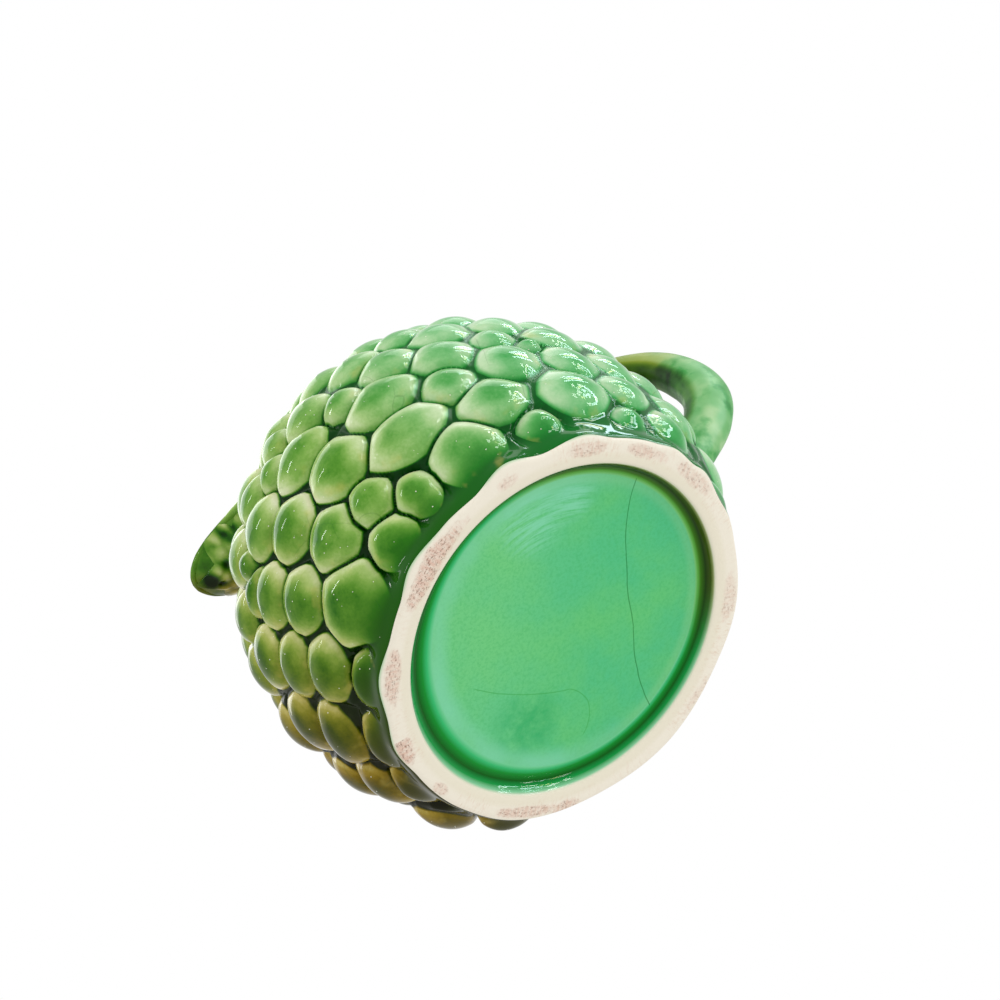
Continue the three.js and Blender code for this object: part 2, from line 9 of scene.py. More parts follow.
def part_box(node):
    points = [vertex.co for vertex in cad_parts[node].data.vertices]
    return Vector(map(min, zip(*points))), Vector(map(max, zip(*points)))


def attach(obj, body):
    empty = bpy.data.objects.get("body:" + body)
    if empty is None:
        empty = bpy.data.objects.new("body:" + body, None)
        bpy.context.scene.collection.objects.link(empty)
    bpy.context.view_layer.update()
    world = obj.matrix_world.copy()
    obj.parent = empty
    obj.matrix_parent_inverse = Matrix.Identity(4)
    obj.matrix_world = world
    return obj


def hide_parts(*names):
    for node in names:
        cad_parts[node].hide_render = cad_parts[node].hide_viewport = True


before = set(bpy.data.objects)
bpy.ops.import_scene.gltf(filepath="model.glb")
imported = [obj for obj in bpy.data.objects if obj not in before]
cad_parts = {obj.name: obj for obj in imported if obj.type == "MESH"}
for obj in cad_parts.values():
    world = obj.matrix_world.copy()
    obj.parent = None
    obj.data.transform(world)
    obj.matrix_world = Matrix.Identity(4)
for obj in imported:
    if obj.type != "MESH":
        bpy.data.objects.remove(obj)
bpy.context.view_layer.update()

MM = 0.001

# Sizes

floor_low, floor_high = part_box("base_floor")
AXIS_X = (floor_low.x + floor_high.x) / 2 / MM  # the jug's axis stands at this x
BODY_HEIGHT = 51.5  # middle of the round body above the table
WALL_RADIUS = 77.95  # body's middle to the top of an average grape
CAVITY_RADIUS = 69.2  # the round hollow inside
SKIN_RADIUS = 77.35  # the smooth wall that the grapes are pressed into
COVE_RADIUS = 77  # the same below the lowest grapes, before it spreads to the foot
GRAPE_GAIN = 0.18  # how much further out a grape stands for each millimetre of its size
GRAPE_TIP = 0.68  # 1 is a plain oval, less gives a grape more pointed ends
DOME_DEPTH = 4.8  # from a grape's top down to its edge
DOME_FILL = 0.36  # 0 leaves a grape's outline oval, 1 fills it out to its neighbours
DOME_CROWN = 0.42  # 0 is a dome with steep sides, 1 an evenly curved one
BELLY = 1.8  # how far the bunch bulges out of a true ball low down
SOFT_SIDE = (0.85, -0.35, 0.4)  # towards the side where the glaze fills the crevices
SOFTENING = 0.35  # how much shallower and rounder the crevices are on that side
CREVICE_DEPTH = 1.2  # how much deeper the line between two grapes is
CREVICE_WIDTH = 1.0
AROUND = 680  # points round the body
GRAPES_FROM = 2.8  # the grapes swell out of the wall from this height, over this much of it
GRAPES_RISE = 9
COLLAR_RADIUS = 42.5  # and sink back into it towards this distance from the axis
COLLAR_FADE = 4
PARTING = 84  # height of the seam between the bowl and the shoulder
FOOT_EDGE_RADIUS = 62.1
FOOT_TOP = 1.1  # where the glaze begins above the bare ring
FOOT_FLARE = 3.06  # how far the wall spreads out just above the foot
FOOT_COVE = 9.0  # height up to which it does
BASE_UNDER = 4.6  # height of the glazed floor's lower face, and of its inner one
BASE_OVER = 9.4
NECK_OUTER = 41  # outer radius of the neck
NECK_FOOT = 109  # height at which it leaves the shoulder
MOUTH_RADIUS = 35.5  # inner radius of the neck at its narrowest
MOUTH_TOP = 126  # where the neck ends inside the rounded rim
RIM_LINE_RADIUS = 39.1  # from the axis to the middle of the rounded rim
RIM_HALF_WIDTH = 2.35

# Outer edge of the foot, pushed in and out by the grapes above it: turn, radius
FOOT_EDGE = [
    (5, 61.9), (25, 62.6), (45, 61.6), (70, 62.5), (97, 61.3), (125, 62.2), (145, 61.3),
    (165, 61), (178, 62.7), (187, 61.9), (200, 63.5), (212, 61.3), (221, 61.4), (232, 63.7),
    (245, 62), (256, 61.1), (267, 63.8), (279, 60.7), (292, 62.8), (302, 61.2), (316, 61.8),
    (324, 62.8), (332, 62.1), (337, 62.9), (348, 61.7), (356, 62.3),
]

# Grapes of the side away from the lip and the handle: turn, latitude, half width, half height
# and, for some, how much further out they stand
FRONT_GRAPES = [
    (134, -24.5, 11.5, 8.5, 2.2), (121.5, -31.5, 9.5, 8, 2.6), (156, -33, 10.5, 6.5),
    (176, -34, 11.5, 5.5), (197, -34, 9.5, 5.5),
    (216, -28.5, 13, 11.5), (234.5, -31.5, 9, 8), (247.5, -29.5, 7.5, 7.5),
    (263.5, -30, 11.5, 10.5), (283.5, -32.5, 7, 6), (298, -25.5, 12, 10),
    (312, -32.5, 6.5, 5), (328, -30.5, 9.5, 7.5),
    (139, -13, 9.5, 7), (156, -24, 12.5, 8.5), (344, -14.5, 9, 9.5, 0.8), (176, -22.5, 13.5, 8.5),
    (196, -23.5, 11.5, 8.5), (227.5, -17.5, 11, 10), (239, -21, 8.5, 8),
    (256.5, -16.5, 14.5, 10), (277.5, -22, 11.5, 9.5), (315, -23, 10, 7.5),
    (335, -21, 11, 9.5), (152.5, -12, 12, 9, 1.0), (174, -10, 12.5, 9.5), (192.5, -12.5, 11.5, 8.5),
    (210, -14, 11, 9.5), (241, -7.5, 12, 10.5), (272.5, -11.5, 9, 8.5),
    (288.5, -11.5, 10.5, 10), (297.5, -6, 5, 4), (304.5, -13.5, 10, 9.5),
    (319, -11.5, 10, 9), (334, -8, 11, 9.5),
    (149, 0, 11.5, 9.5), (165, 2, 12, 9.5, 0.8), (189.5, -1, 11.5, 10), (206.5, -3, 11, 9.5),
    (223.5, -4, 11.5, 9.5), (259, -3, 13, 10), (277, -1, 10.5, 10), (291, -0.5, 7.5, 7),
    (307, -1, 11, 9.5), (324, 2, 11, 9.5), (147, 12, 11.5, 9.5), (163, 15, 10.5, 8.5),
    (180, 10, 11.5, 9.5), (193, 12.5, 10.5, 9.5), (204, 4.5, 9, 6.5), (208, 11, 6, 7),
    (218.5, 8.5, 11.5, 10.5), (230.5, 15, 7.5, 7), (237.5, 6, 12.5, 10), (253, 7, 8, 7.5),
    (267, 8, 10, 10), (283, 10.5, 10.5, 10), (297.5, 8.5, 10, 10), (313, 12, 10.5, 9.5),
    (328, 13, 10.5, 9.5), (342.5, 13, 10.5, 8.5),
    (139, 23, 10.5, 9), (156, 25, 10, 8.5), (178, 22, 11.5, 10), (205, 21.5, 10, 10),
    (221, 21.5, 9.5, 8.5), (235.5, 24, 7.5, 9.5), (246, 17, 10, 11), (263, 18.5, 10.5, 10),
    (277, 20, 9.5, 9.5), (293, 21, 10, 10), (309, 22.5, 9.5, 9), (325.5, 24, 10, 8.5),
    (342, 23.5, 10, 8.5),
]

# The far side has the same grapes half a turn on, from these turns, below a latitude and above
FAR_FROM = 163
FAR_TO_LOW = 297
FAR_TO_HIGH = 318
FAR_LOW = -15

# Rows that close in on the neck: latitude, number of grapes, half height
SHOULDER_ROWS = [(32, 20, 9), (41.5, 18, 9), (50.5, 15, 8)]

# Branch handle: distance from the jug's axis, offset to the side, height, half width
HANDLE_PATH = [
    (37.6, -0.2, 118, 6.8), (43, -0.4, 117.8, 6.1), (55, -1.2, 117.2, 4.9), (71, -1.8, 113.6, 4.5),
    (87.4, -2.2, 104.9, 5.1), (98.1, -2.6, 91.8, 6.8), (101.3, -2.8, 77, 7.9),
    (99.1, -2.4, 62.4, 8.3), (90.8, -1.4, 51.2, 8.3), (78, -0.4, 43, 8.3), (66, 0, 37.6, 9),
]
HANDLE_LOOP_MIDDLE = (66, 0, 78)  # the handle's inner side faces this place

# Pouring lip: distance from the axis, half width, height of the underside and of the edge
LIP_SECTIONS = [
    (32, 17.4, 117, 128), (41, 17.4, 117, 128), (47, 15.9, 117.2, 127),
    (53, 14.2, 117.7, 126.2), (59, 12, 118.4, 125.5), (64, 9, 119.6, 125.2),
    (67.4, 5.2, 121.2, 125.1), (68.7, 2.6, 122.6, 125), (69.1, 0.6, 123.2, 125),
]
LIP_ROOT = 36  # distance at which the lip leaves the neck
LIP_TIP = LIP_SECTIONS[-1][0]
LIP_KEEL = 9  # how far short of the tip the keel ends
LIP_BOWL = 2.3  # 1 is a lip with straight sides, more gives a rounder bowl
LIP_WALL = 3.0
LIP_HALF_TURN = 22.5  # how far round the mouth the lip takes up, each way
LIP_NOTCH_HEIGHT = 117  # the neck is cut down towards this height where the lip leaves it
LIP_BEAD_START = 43  # distance at which the rim's bead turns out along the lip

# Vine leaves on the shoulder: name, turn and latitude of the leaf's middle, slant
SHOULDER_LEAVES = [
    ("left_leaf", 300, 51, 14),
    ("right_leaf", 72, 50, -12),
    ("back_leaf", 128, 50, 10),
]


def unit(value):
    """The value, kept between 0 and 1."""
    return max(0.0, min(1.0, value))


def eased(share):
    """A share from 0 to 1 that starts and ends softly."""
    return share * share * (3 - 2 * share)


def linear(red, green, blue):
    """A colour given as 0 to 255 on a screen, as light."""
    return tuple(
        (c / 255 / 12.92) if c < 10.3 else ((c / 255 + 0.055) / 1.055) ** 2.4
        for c in (red, green, blue)
    ) + (1,)


# Nodes, for materials and for shapes alike


class Strand:
    """One value that runs between nodes. A sum written on it becomes Math nodes."""

    def __init__(self, web, socket):
        self.web = web
        self.socket = socket

    def maths(self, operation, *others):
        return self.web.node("ShaderNodeMath", [self, *others], operation=operation)

    def __add__(self, other):
        return self.maths("ADD", other)

    def __sub__(self, other):
        return self.maths("SUBTRACT", other)

    def __rsub__(self, other):
        return self.web.node("ShaderNodeMath", [other, self], operation="SUBTRACT")

    def __mul__(self, other):
        return self.maths("MULTIPLY", other)

    def __truediv__(self, other):
        return self.maths("DIVIDE", other)

    def __pow__(self, other):
        return self.maths("POWER", other)

    def __neg__(self):
        return self.maths("MULTIPLY", -1)

    def __lt__(self, other):
        return self.maths("LESS_THAN", other)

    def __gt__(self, other):
        return self.maths("GREATER_THAN", other)

    __radd__ = __add__
    __rmul__ = __mul__

    def least(self, other):
        return self.maths("MINIMUM", other)

    def most(self, other):
        return self.maths("MAXIMUM", other)

    def vector(self, operation, *others, out=0):
        return self.web.node("ShaderNodeVectorMath", [self, *others], out, operation=operation)

    def dot(self, other):
        return self.vector("DOT_PRODUCT", other, out="Value")

    def length(self):
        return self.vector("LENGTH", out="Value")

    def scaled(self, factor):
        return self.web.node(
            "ShaderNodeVectorMath", {"Vector": self, "Scale": factor}, operation="SCALE")

    def parts(self):
        split = self.web.node("ShaderNodeSeparateXYZ", [self]).socket.node
        return [Strand(self.web, out) for out in split.outputs]


class Web:
    """A node tree, filled in by one method."""

    def __init__(self, tree):
        self.tree = tree

    def node(self, kind, inputs=(), out=0, stops=None, **settings):
        """A node with its settings, then its inputs by name or in order, and one output."""
        made = self.tree.nodes.new(kind)
        for name, value in settings.items():
            setattr(made, name, value)
        if stops:
            ramp = made.color_ramp
            while len(ramp.elements) < len(stops):
                ramp.elements.new(0.5)
            for element, (place, colour) in zip(ramp.elements, stops):
                element.position = place
                element.color = colour
        pairs = inputs.items() if isinstance(inputs, dict) else enumerate(inputs)
        for name, value in pairs:
            self.feed(made.inputs[name], value)
        return Strand(self, made.outputs[out]) if len(made.outputs) else made

    def feed(self, socket, value):
        if isinstance(value, Strand):
            self.tree.links.new(value.socket, socket)
        elif value is not None:
            socket.default_value = value

    def band(self, value, low, high):
        """0 below low, 1 above high and a soft step between, or the reverse."""
        if low > high:
            return 1 - self.band(value, high, low)
        return self.node(
            "ShaderNodeMapRange", {"Value": value, "From Min": low, "From Max": high},
            interpolation_type="SMOOTHSTEP")

    def join(self, x, y, z):
        return self.node("ShaderNodeCombineXYZ", [x, y, z])


MIRRORING = 0.11  # how strongly glaze and clay mirror, where 0.5 is plain glass


class Finish(Web):
    """A material made of nodes round one glossy or matt shader."""

    def __init__(self, name, roughness):
        self.material = bpy.data.materials.new(name)
        self.material.use_nodes = True
        super().__init__(self.material.node_tree)
        self.tree.nodes.clear()
        self.shader = self.tree.nodes.new("ShaderNodeBsdfPrincipled")
        self.shader.inputs["Roughness"].default_value = roughness
        self.shader.inputs["Specular IOR Level"].default_value = MIRRORING
        output = self.tree.nodes.new("ShaderNodeOutputMaterial")
        self.tree.links.new(self.shader.outputs[0], output.inputs["Surface"])
        place = self.node("ShaderNodeTexCoord", out="Object")
        self.place = place.vector("SUBTRACT", (AXIS_X * MM, 0, 0))
        self.x, self.y, self.z = self.place.parts()
        self.from_axis = (self.x ** 2 + self.y ** 2) ** 0.5

    def colour(self, value):
        self.feed(self.shader.inputs["Base Color"], value)

    def roughness(self, value):
        self.feed(self.shader.inputs["Roughness"], value)

    def relief(self, height, distance):
        """Small relief in metres, seen in the light only."""
        bump = self.node(
            "ShaderNodeBump", {"Height": height, "Distance": distance, "Strength": 1.0})
        self.feed(self.shader.inputs["Normal"], bump)

    def noise(self, scale, detail=2.0, at=None, roughness=0.5):
        return self.node(
            "ShaderNodeTexNoise",
            {"Vector": at or self.place, "Scale": scale, "Detail": detail,
             "Roughness": roughness})

    def drift(self, amount, scale, detail, **settings):
        """Noise about 0 that is as wide as the amount."""
        return (self.noise(scale, detail, **settings) - 0.5) * amount

    def mix(self, share, one, other):
        """A colour between two, each from other nodes or as 0 to 255 on a screen."""
        one, other = (linear(*c) if isinstance(c, tuple) else c for c in (one, other))
        return self.node(
            "ShaderNodeMix", {0: share, 6: one, 7: other}, 2,
            data_type="RGBA", blend_type="MIX")

    def ramp(self, value, stops):
        return self.node("ShaderNodeValToRGB", [value], stops=stops)

    def attribute(self, name):
        return self.node(
            "ShaderNodeAttribute", out="Fac", attribute_name=name, attribute_type="GEOMETRY")

    def specks(self, scale, size, share, seed):
        """Round specks, one in some of the cells of a grid that has lost its order."""
        shifted = self.place.vector("ADD", (seed, seed * 2, 0))
        cells = self.node("ShaderNodeTexVoronoi", {"Vector": shifted, "Scale": scale})
        kind = Strand(self, cells.socket.node.outputs["Color"]).parts()[0]
        return self.band(cells, size, size * 0.6) * (kind < share)

    def hairlines(self, scale, width, share, seed):
        """Fine cracks in the glaze that wander and stop."""
        bent = self.noise(scale * 0.9, 1.5)
        shifted = self.place.vector("ADD", (seed, 0, seed * 3)).vector(
            "ADD", self.join(bent * 0.02, bent * 0.015, 0))
        edges = self.node(
            "ShaderNodeTexVoronoi", {"Vector": shifted, "Scale": scale},
            feature="DISTANCE_TO_EDGE")
        shown = self.noise(scale * 1.3, 1.0, shifted)
        return self.band(edges, width, width * 0.3) * self.band(shown, 1 - share, 1.04 - share)


def ramp_stops(places, *colours):
    """Colours at places from 0 to 1 along a ramp."""
    return [(place, linear(*colour)) for place, colour in zip(places, colours)]


# The glaze by its thickness, from a film over cream clay to a deep pool. It is olive on the
# lip's side of the jug, green between and sea green on the handle's side. This split is partly
# the glaze's own colour and partly painted light: cool on the handle's side, warm and dim on
# the lip's side.
GLAZE_STEPS = (0.0, 0.15, 0.3, 0.45, 0.6, 0.75, 0.88, 1.0)
OLIVE_GLAZE = ramp_stops(
    GLAZE_STEPS, (232, 222, 172), (204, 200, 132), (164, 170, 78), (120, 142, 40),
    (82, 114, 14), (52, 88, 2), (32, 62, 0), (18, 36, 0))
GREEN_GLAZE = ramp_stops(
    GLAZE_STEPS, (226, 232, 198), (200, 218, 164), (166, 196, 120), (126, 170, 78),
    (86, 144, 44), (40, 112, 14), (8, 74, 4), (0, 38, 2))
SEA_GLAZE = ramp_stops(
    GLAZE_STEPS, (216, 234, 206), (188, 220, 180), (152, 204, 152), (114, 188, 124),
    (70, 166, 88), (26, 134, 54), (4, 98, 32), (0, 64, 20))
AMBER_GLAZE = ramp_stops(
    GLAZE_STEPS, (214, 202, 142), (184, 168, 88), (152, 130, 42), (124, 104, 10),
    (98, 84, 2), (68, 66, 0), (42, 46, 0), (22, 24, 0))
CREAM = (240, 234, 220)

# Colours from the floor under the jug across the groove to the bare rim, as shares of the way.
# Their dark middle is pooled glaze and painted shade.
GROOVE_OLIVE = ramp_stops(
    (0.0, 0.16, 0.34, 0.62, 0.82, 0.93, 1.0), (118, 196, 116), (90, 168, 66),
    (54, 112, 12), (26, 58, 0), (58, 82, 6), (150, 160, 100), (236, 230, 214))
GROOVE_GREEN = ramp_stops(
    (0.0, 0.16, 0.34, 0.6, 0.8, 0.92, 1.0), (112, 204, 150), (52, 184, 110),
    (6, 140, 44), (0, 88, 10), (6, 150, 66), (140, 208, 164), (236, 232, 216))
GROOVE_OUTER = 53.5
GROOVE_INNER = 48.9
SHADED_POOL_TURN = math.radians(173)  # where the dark groove band reaches furthest in: pooled glaze and painted shade
SHADED_POOL_REACH = 5.2

# Rubbed places on the foot: turn, radius, half turn, half width, strength
FOOT_STAINS = [
    (22, 59, 9, 2.6, 0.45), (54, 59.5, 8, 2.2, 0.4), (108, 60, 5, 2.4, 0.8),
    (122, 59, 11, 2, 0.8), (157, 59, 3.5, 1.8, 0.6), (176, 60, 5.5, 3, 1),
    (200, 59.5, 8, 2.8, 0.85), (236, 58.2, 14, 3.4, 1), (266, 58.6, 4, 2.2, 0.5),
    (292, 58.6, 7, 2.2, 0.6), (315, 58.5, 8, 2.4, 0.75), (335, 59, 8, 2.4, 0.6),
]

# Directions in which the glaze changes, by how much for each metre from the jug's axis
OLIVE_SIDE = (-11.6, 4.6, -1.5)  # from sea green by the handle to olive by the lip; partly painted light, cool to warm and dim
FILLED_SIDE = (10.9, -4.5, 5)  # where it fills the crevices softly
SHADED_SIDE = (-8, 4, -6)  # painted shade: the glaze is painted darker towards the lip's side and low down
LIGHT_SIDE = (-14, -8, 0)  # where the base is paler

# Hair cracks in the glaze under the jug: start, middle and end of each bow, from the axis
DARK_CRACK = [
    ((39.1, -34.6), (32.8, -25.9), (27.4, -11.3)), ((27.4, -11.3), (24.6, 1.7), (22.5, 14.6)),
    ((22.5, 14.6), (19.7, 36.2), (22, 51.8)),
]
PALE_CRACK = [((-32, 2.5), (-16, 15.5), (-3.5, 22)), ((-3.5, 22), (0.5, 33), (-4, 40))]

AMBER_SPOT = (-0.05, 0.056, 0.022)  # a brown patch, brown glaze and painted shade together, from the jug's axis


def tinted(glaze, thickness):
    """The glaze's colour at a thickness from 0 to 1."""
    drift = glaze.noise(18, 2) - 0.5
    # Olive to sea green across the jug: glaze colour and painted light together.
    side = glaze.place.dot(OLIVE_SIDE) + 0.35 * drift
    green = glaze.ramp(thickness, GREEN_GLAZE)
    green = glaze.mix(glaze.band(side, 0.1, 0.95), green, glaze.ramp(thickness, OLIVE_GLAZE))
    green = glaze.mix(glaze.band(side, 0.1, -0.75), green, glaze.ramp(thickness, SEA_GLAZE))
    # A brown patch low on the lip's side, partly painted shade.
    brown_shade_distance = glaze.place.vector("SUBTRACT", AMBER_SPOT).length() + 0.02 * drift
    return glaze.mix(glaze.band(brown_shade_distance, 0.09, 0.04), green, glaze.ramp(thickness, AMBER_GLAZE))


def lip_tint(glaze, thickness):
    """The glaze's colour on the lip: yellower green, and browner on its flank towards +y, which is
    painted shade.
    """
    green = glaze.mix(0.35, glaze.ramp(thickness, GREEN_GLAZE), glaze.ramp(thickness, OLIVE_GLAZE))
    # Painted shade: browner and darker on the lip's flank towards +y.
    low_side = glaze.band(glaze.y, -0.006, 0.004)
    return glaze.mix(low_side * 0.85, green, glaze.ramp(thickness, AMBER_GLAZE))


def grape_glaze():
    """Glaze on the grapes: thin on their shoulders, with a painted highlight line at their edges,
    thick below their tops, dark in between from pooled glaze and painted shade, painted darker
    low on the lip's side as shade, and a thin film of it inside the jug."""
    glaze = Finish("grape_glaze", 0.05)
    edge = glaze.attribute("edge")
    rise = glaze.attribute("rise")
    seam = glaze.attribute("seam")
    skin = glaze.attribute("relief")
    soft = glaze.band(glaze.place.dot(FILLED_SIDE), -0.1, 0.7)
    shoulder = glaze.band(edge + 0.1 * soft, 0.3, 0.94)
    upper = glaze.band(rise, -0.6, 0.7)
    # Thin glaze on the shoulders; the last term is a painted highlight line along each edge.
    thin_glaze_and_rim_highlight = (shoulder * (0.42 - 0.16 * soft + 0.1 * upper)
               + 0.1 * glaze.band(edge, 0.8, 0.92) * (1 - soft))
    sagged = glaze.band(rise, -0.3, -1.0) * glaze.band(edge, 0.3, 0.75)
    patches = glaze.noise(75, 3)
    # Painted shade: darker glaze low on the lip's side.
    shaded_side = glaze.band(glaze.place.dot(SHADED_SIDE), -0.3, 0.7)
    thickness = (0.62 - 0.1 * soft + 0.12 * shaded_side - thin_glaze_and_rim_highlight + 0.26 * sagged
                 + 0.5 * (patches - 0.5)
                 + glaze.drift(0.2, 240, 4, roughness=0.65)
                 + glaze.drift(0.12, 1100, 2))
    # Dark crevices and dome edges: pooled glaze and painted shade.
    pooled = glaze.band(seam, 1.0, 0.2).most(glaze.band(edge, 0.94, 1.0))
    pooled = pooled.most(glaze.band(edge, 0.84, 1.04) * soft)
    thickness = thickness + pooled * (0.99 - 0.1 * soft - thickness)
    foot = glaze.band(glaze.z, 0.013, 0.004)
    thickness = thickness + foot * (0.84 - thickness)
    inside = glaze.band(skin, 0.1, 0.0) * glaze.band(glaze.z, 0.008, 0.012)
    thin_film = glaze.ramp(0.25 + 0.3 * (patches - 0.5), GREEN_GLAZE)
    green = glaze.mix(inside, tinted(glaze, thickness), thin_film)
    open_skin = 1 - pooled
    blush = glaze.band(glaze.noise(110, 3), 0.54, 0.7) * glaze.band(edge, 0.55, 0.8) * open_skin
    green = glaze.mix(blush * 0.25, green, (220, 200, 110))
    cracks = glaze.hairlines(30, 0.005, 0.45, 3)
    green = glaze.mix(cracks * 0.22, green, (20, 84, 30))
    pinholes = glaze.specks(520, 0.12, 0.35, 5) * open_skin
    green = glaze.mix(pinholes * 0.85, green, (250, 250, 232))
    glaze.colour(green)
    glaze.roughness(0.05 + 0.32 * pooled * glaze.band(glaze.z, 0.012, 0.02))
    glaze.relief(glaze.noise(60, 2) * 0.3 + glaze.noise(420, 2) * 0.02 + pinholes * 0.1, 0.0011)
    return glaze.material


def branch_glaze():
    """Glaze on the handle: olive and deep on the loop's inner side, which is partly painted shade,
    thin in drifting patches.
    """
    glaze = Finish("branch_glaze", 0.42)
    inner = glaze.attribute("inner")
    drift = glaze.noise(38, 3, roughness=0.6)
    splash = glaze.band(glaze.noise(80, 4, roughness=0.6), 0.48, 0.66)
    high = glaze.band(glaze.z + 0.03 * (drift - 0.5), 0.072, 0.1)
    # Thicker on the loop's inner side: deeper glaze and painted shade.
    thickness = (0.5 - 0.07 * high + 0.34 * glaze.band(inner, 0.35, 0.95)
                 - 0.22 * glaze.band(drift, 0.46, 0.66) * (1 - 0.7 * high)
                 + 0.2 * splash * (1 - high)
                 + glaze.drift(0.16, 170, 3))
    green = glaze.ramp(thickness, SEA_GLAZE)
    # Olive high up, and on the loop's inner side with painted shade.
    olive = (0.2 + high * 0.65 + glaze.band(inner, 0.3, 0.8) * 0.5).least(1)
    glaze.colour(glaze.mix(olive, green, glaze.ramp(thickness, OLIVE_GLAZE)))
    glaze.relief(glaze.noise(60, 2) + 0.08 * glaze.noise(420, 2), 0.0008)
    return glaze.material


def leaf_glaze():
    """Glaze on the leaves, thin on the ribs and pooled beside them."""
    glaze = Finish("leaf_glaze", 0.07)
    ridge = glaze.attribute("ridge")
    thickness = 0.68 - 0.5 * ridge + glaze.drift(0.3, 120, 3) + glaze.drift(0.06, 320, 2)
    glaze.colour(tinted(glaze, thickness))
    glaze.relief(glaze.noise(140, 2) + 0.06 * glaze.noise(420, 2), 0.0009)
    return glaze.material


def lip_glaze():
    """Glaze under the pouring lip: thin on the lumps of its leaf, pooled dark between them."""
    glaze = Finish("lip_glaze", 0.12)
    ridge = glaze.attribute("ridge")
    lumps = glaze.noise(160, 3, roughness=0.55)
    thickness = 0.66 - 0.5 * ridge + 0.4 * (lumps - 0.5) + glaze.drift(0.1, 320, 3)
    glaze.colour(lip_tint(glaze, thickness))
    glaze.relief(glaze.noise(140, 2) + 0.06 * glaze.noise(420, 2), 0.0009)
    return glaze.material


def mouth_glaze():
    """Glaze on the neck, the rim and the lip, thinner along the edges that it ran off and
    mottled towards the lip's tip."""
    glaze = Finish("mouth_glaze", 0.06)
    edge = glaze.band(glaze.z, 0.1235, 0.128)
    thickness = 0.56 - 0.26 * edge + glaze.drift(0.26, 40, 3) + glaze.drift(0.06, 260, 2)
    plain = tinted(glaze, thickness)
    lip = glaze.band(glaze.x, -0.044, -0.056) * 0.85
    thickness = thickness + lip * (0.18 + glaze.drift(0.75, 160, 3, roughness=0.55))
    glaze.colour(glaze.mix(lip, plain, lip_tint(glaze, thickness)))
    glaze.relief(glaze.noise(70, 2) + 0.05 * glaze.noise(420, 2), 0.0008)
    return glaze.material


def pool_edge(glaze, turn):
    """Distance from the axis at which the groove's dark band, pooled glaze and painted shade,
    begins.
    """
    towards = ((turn - SHADED_POOL_TURN).maths("COSINE") + 1) * 0.5
    return GROOVE_INNER - SHADED_POOL_REACH * towards ** 3 + glaze.drift(0.9, 30, 2)


def groove(glaze, radius, turn):
    """Colour of the groove under the jug: dark from pooled glaze and painted shade, olive round the
    half that is painted as shaded and green round the other.
    """
    start = pool_edge(glaze, turn)
    share = (radius - start) / (GROOVE_OUTER - start)
    # Painted shade: the olive half is the groove's shaded side.
    olive = glaze.band((turn + 0.5).maths("COSINE"), 0.25, 0.75)
    return glaze.mix(olive, glaze.ramp(share, GROOVE_GREEN), glaze.ramp(share, GROOVE_OLIVE))


def turn_of(finish):
    """Turn about the jug's axis, in radians from -pi to pi."""
    return finish.node("ShaderNodeMath", [finish.y, finish.x], operation="ARCTAN2")


def bow(start, middle, end):
    """Middle and radius of the circle through three points."""
    (ax, ay), (bx, by), (cx, cy) = start, middle, end
    turn = 2 * (ax * (by - cy) + bx * (cy - ay) + cx * (ay - by))
    a, b, c = ax ** 2 + ay ** 2, bx ** 2 + by ** 2, cx ** 2 + cy ** 2
    x = (a * (by - cy) + b * (cy - ay) + c * (ay - by)) / turn
    y = (a * (cx - bx) + b * (ax - cx) + c * (bx - ax)) / turn
    return (x, y), math.hypot(ax - x, ay - y)


def crack(glaze, bows, width):
    """1 on a hair crack along the bows, which are in millimetres from the axis, 0 off it."""
    bend = glaze.join(glaze.noise(70, 2) - 0.5, glaze.noise(77, 2) - 0.5, 0)
    here = glaze.join(glaze.x / MM, glaze.y / MM, 0).vector(
        "ADD", bend.vector("MULTIPLY", (1.6, 1.6, 0)))
    shown = None
    for start, middle, end in bows:
        centre, radius = bow(start, middle, end)
        away = (here.vector("SUBTRACT", (*centre, 0)).length() - radius).maths("ABSOLUTE")
        span = (end[0] - start[0], end[1] - start[1], 0)
        from_start = here.vector("SUBTRACT", (*start, 0))
        share = from_start.dot(span) / (span[0] ** 2 + span[1] ** 2)
        side = (-span[1], span[0], 0)
        bulge = (middle[0] - start[0]) * side[0] + (middle[1] - start[1]) * side[1]
        outer = from_start.dot(side) * math.copysign(1, bulge)
        line = (glaze.band(away, width, width * 0.4) * glaze.band(share, -0.03, 0.02)
                * glaze.band(share, 1.03, 0.98) * (outer > -8))
        shown = line if shown is None else shown.most(line)
    return shown


def spot(finish, turn, radius, reach):
    """1 in the middle of a round spot on the base, 0 at its edge."""
    middle = (radius * math.cos(math.radians(turn)) * MM,
              radius * math.sin(math.radians(turn)) * MM, BASE_UNDER * MM)
    away = finish.place.vector("SUBTRACT", middle).length()
    return finish.band(away, reach * MM, reach * 0.25 * MM)


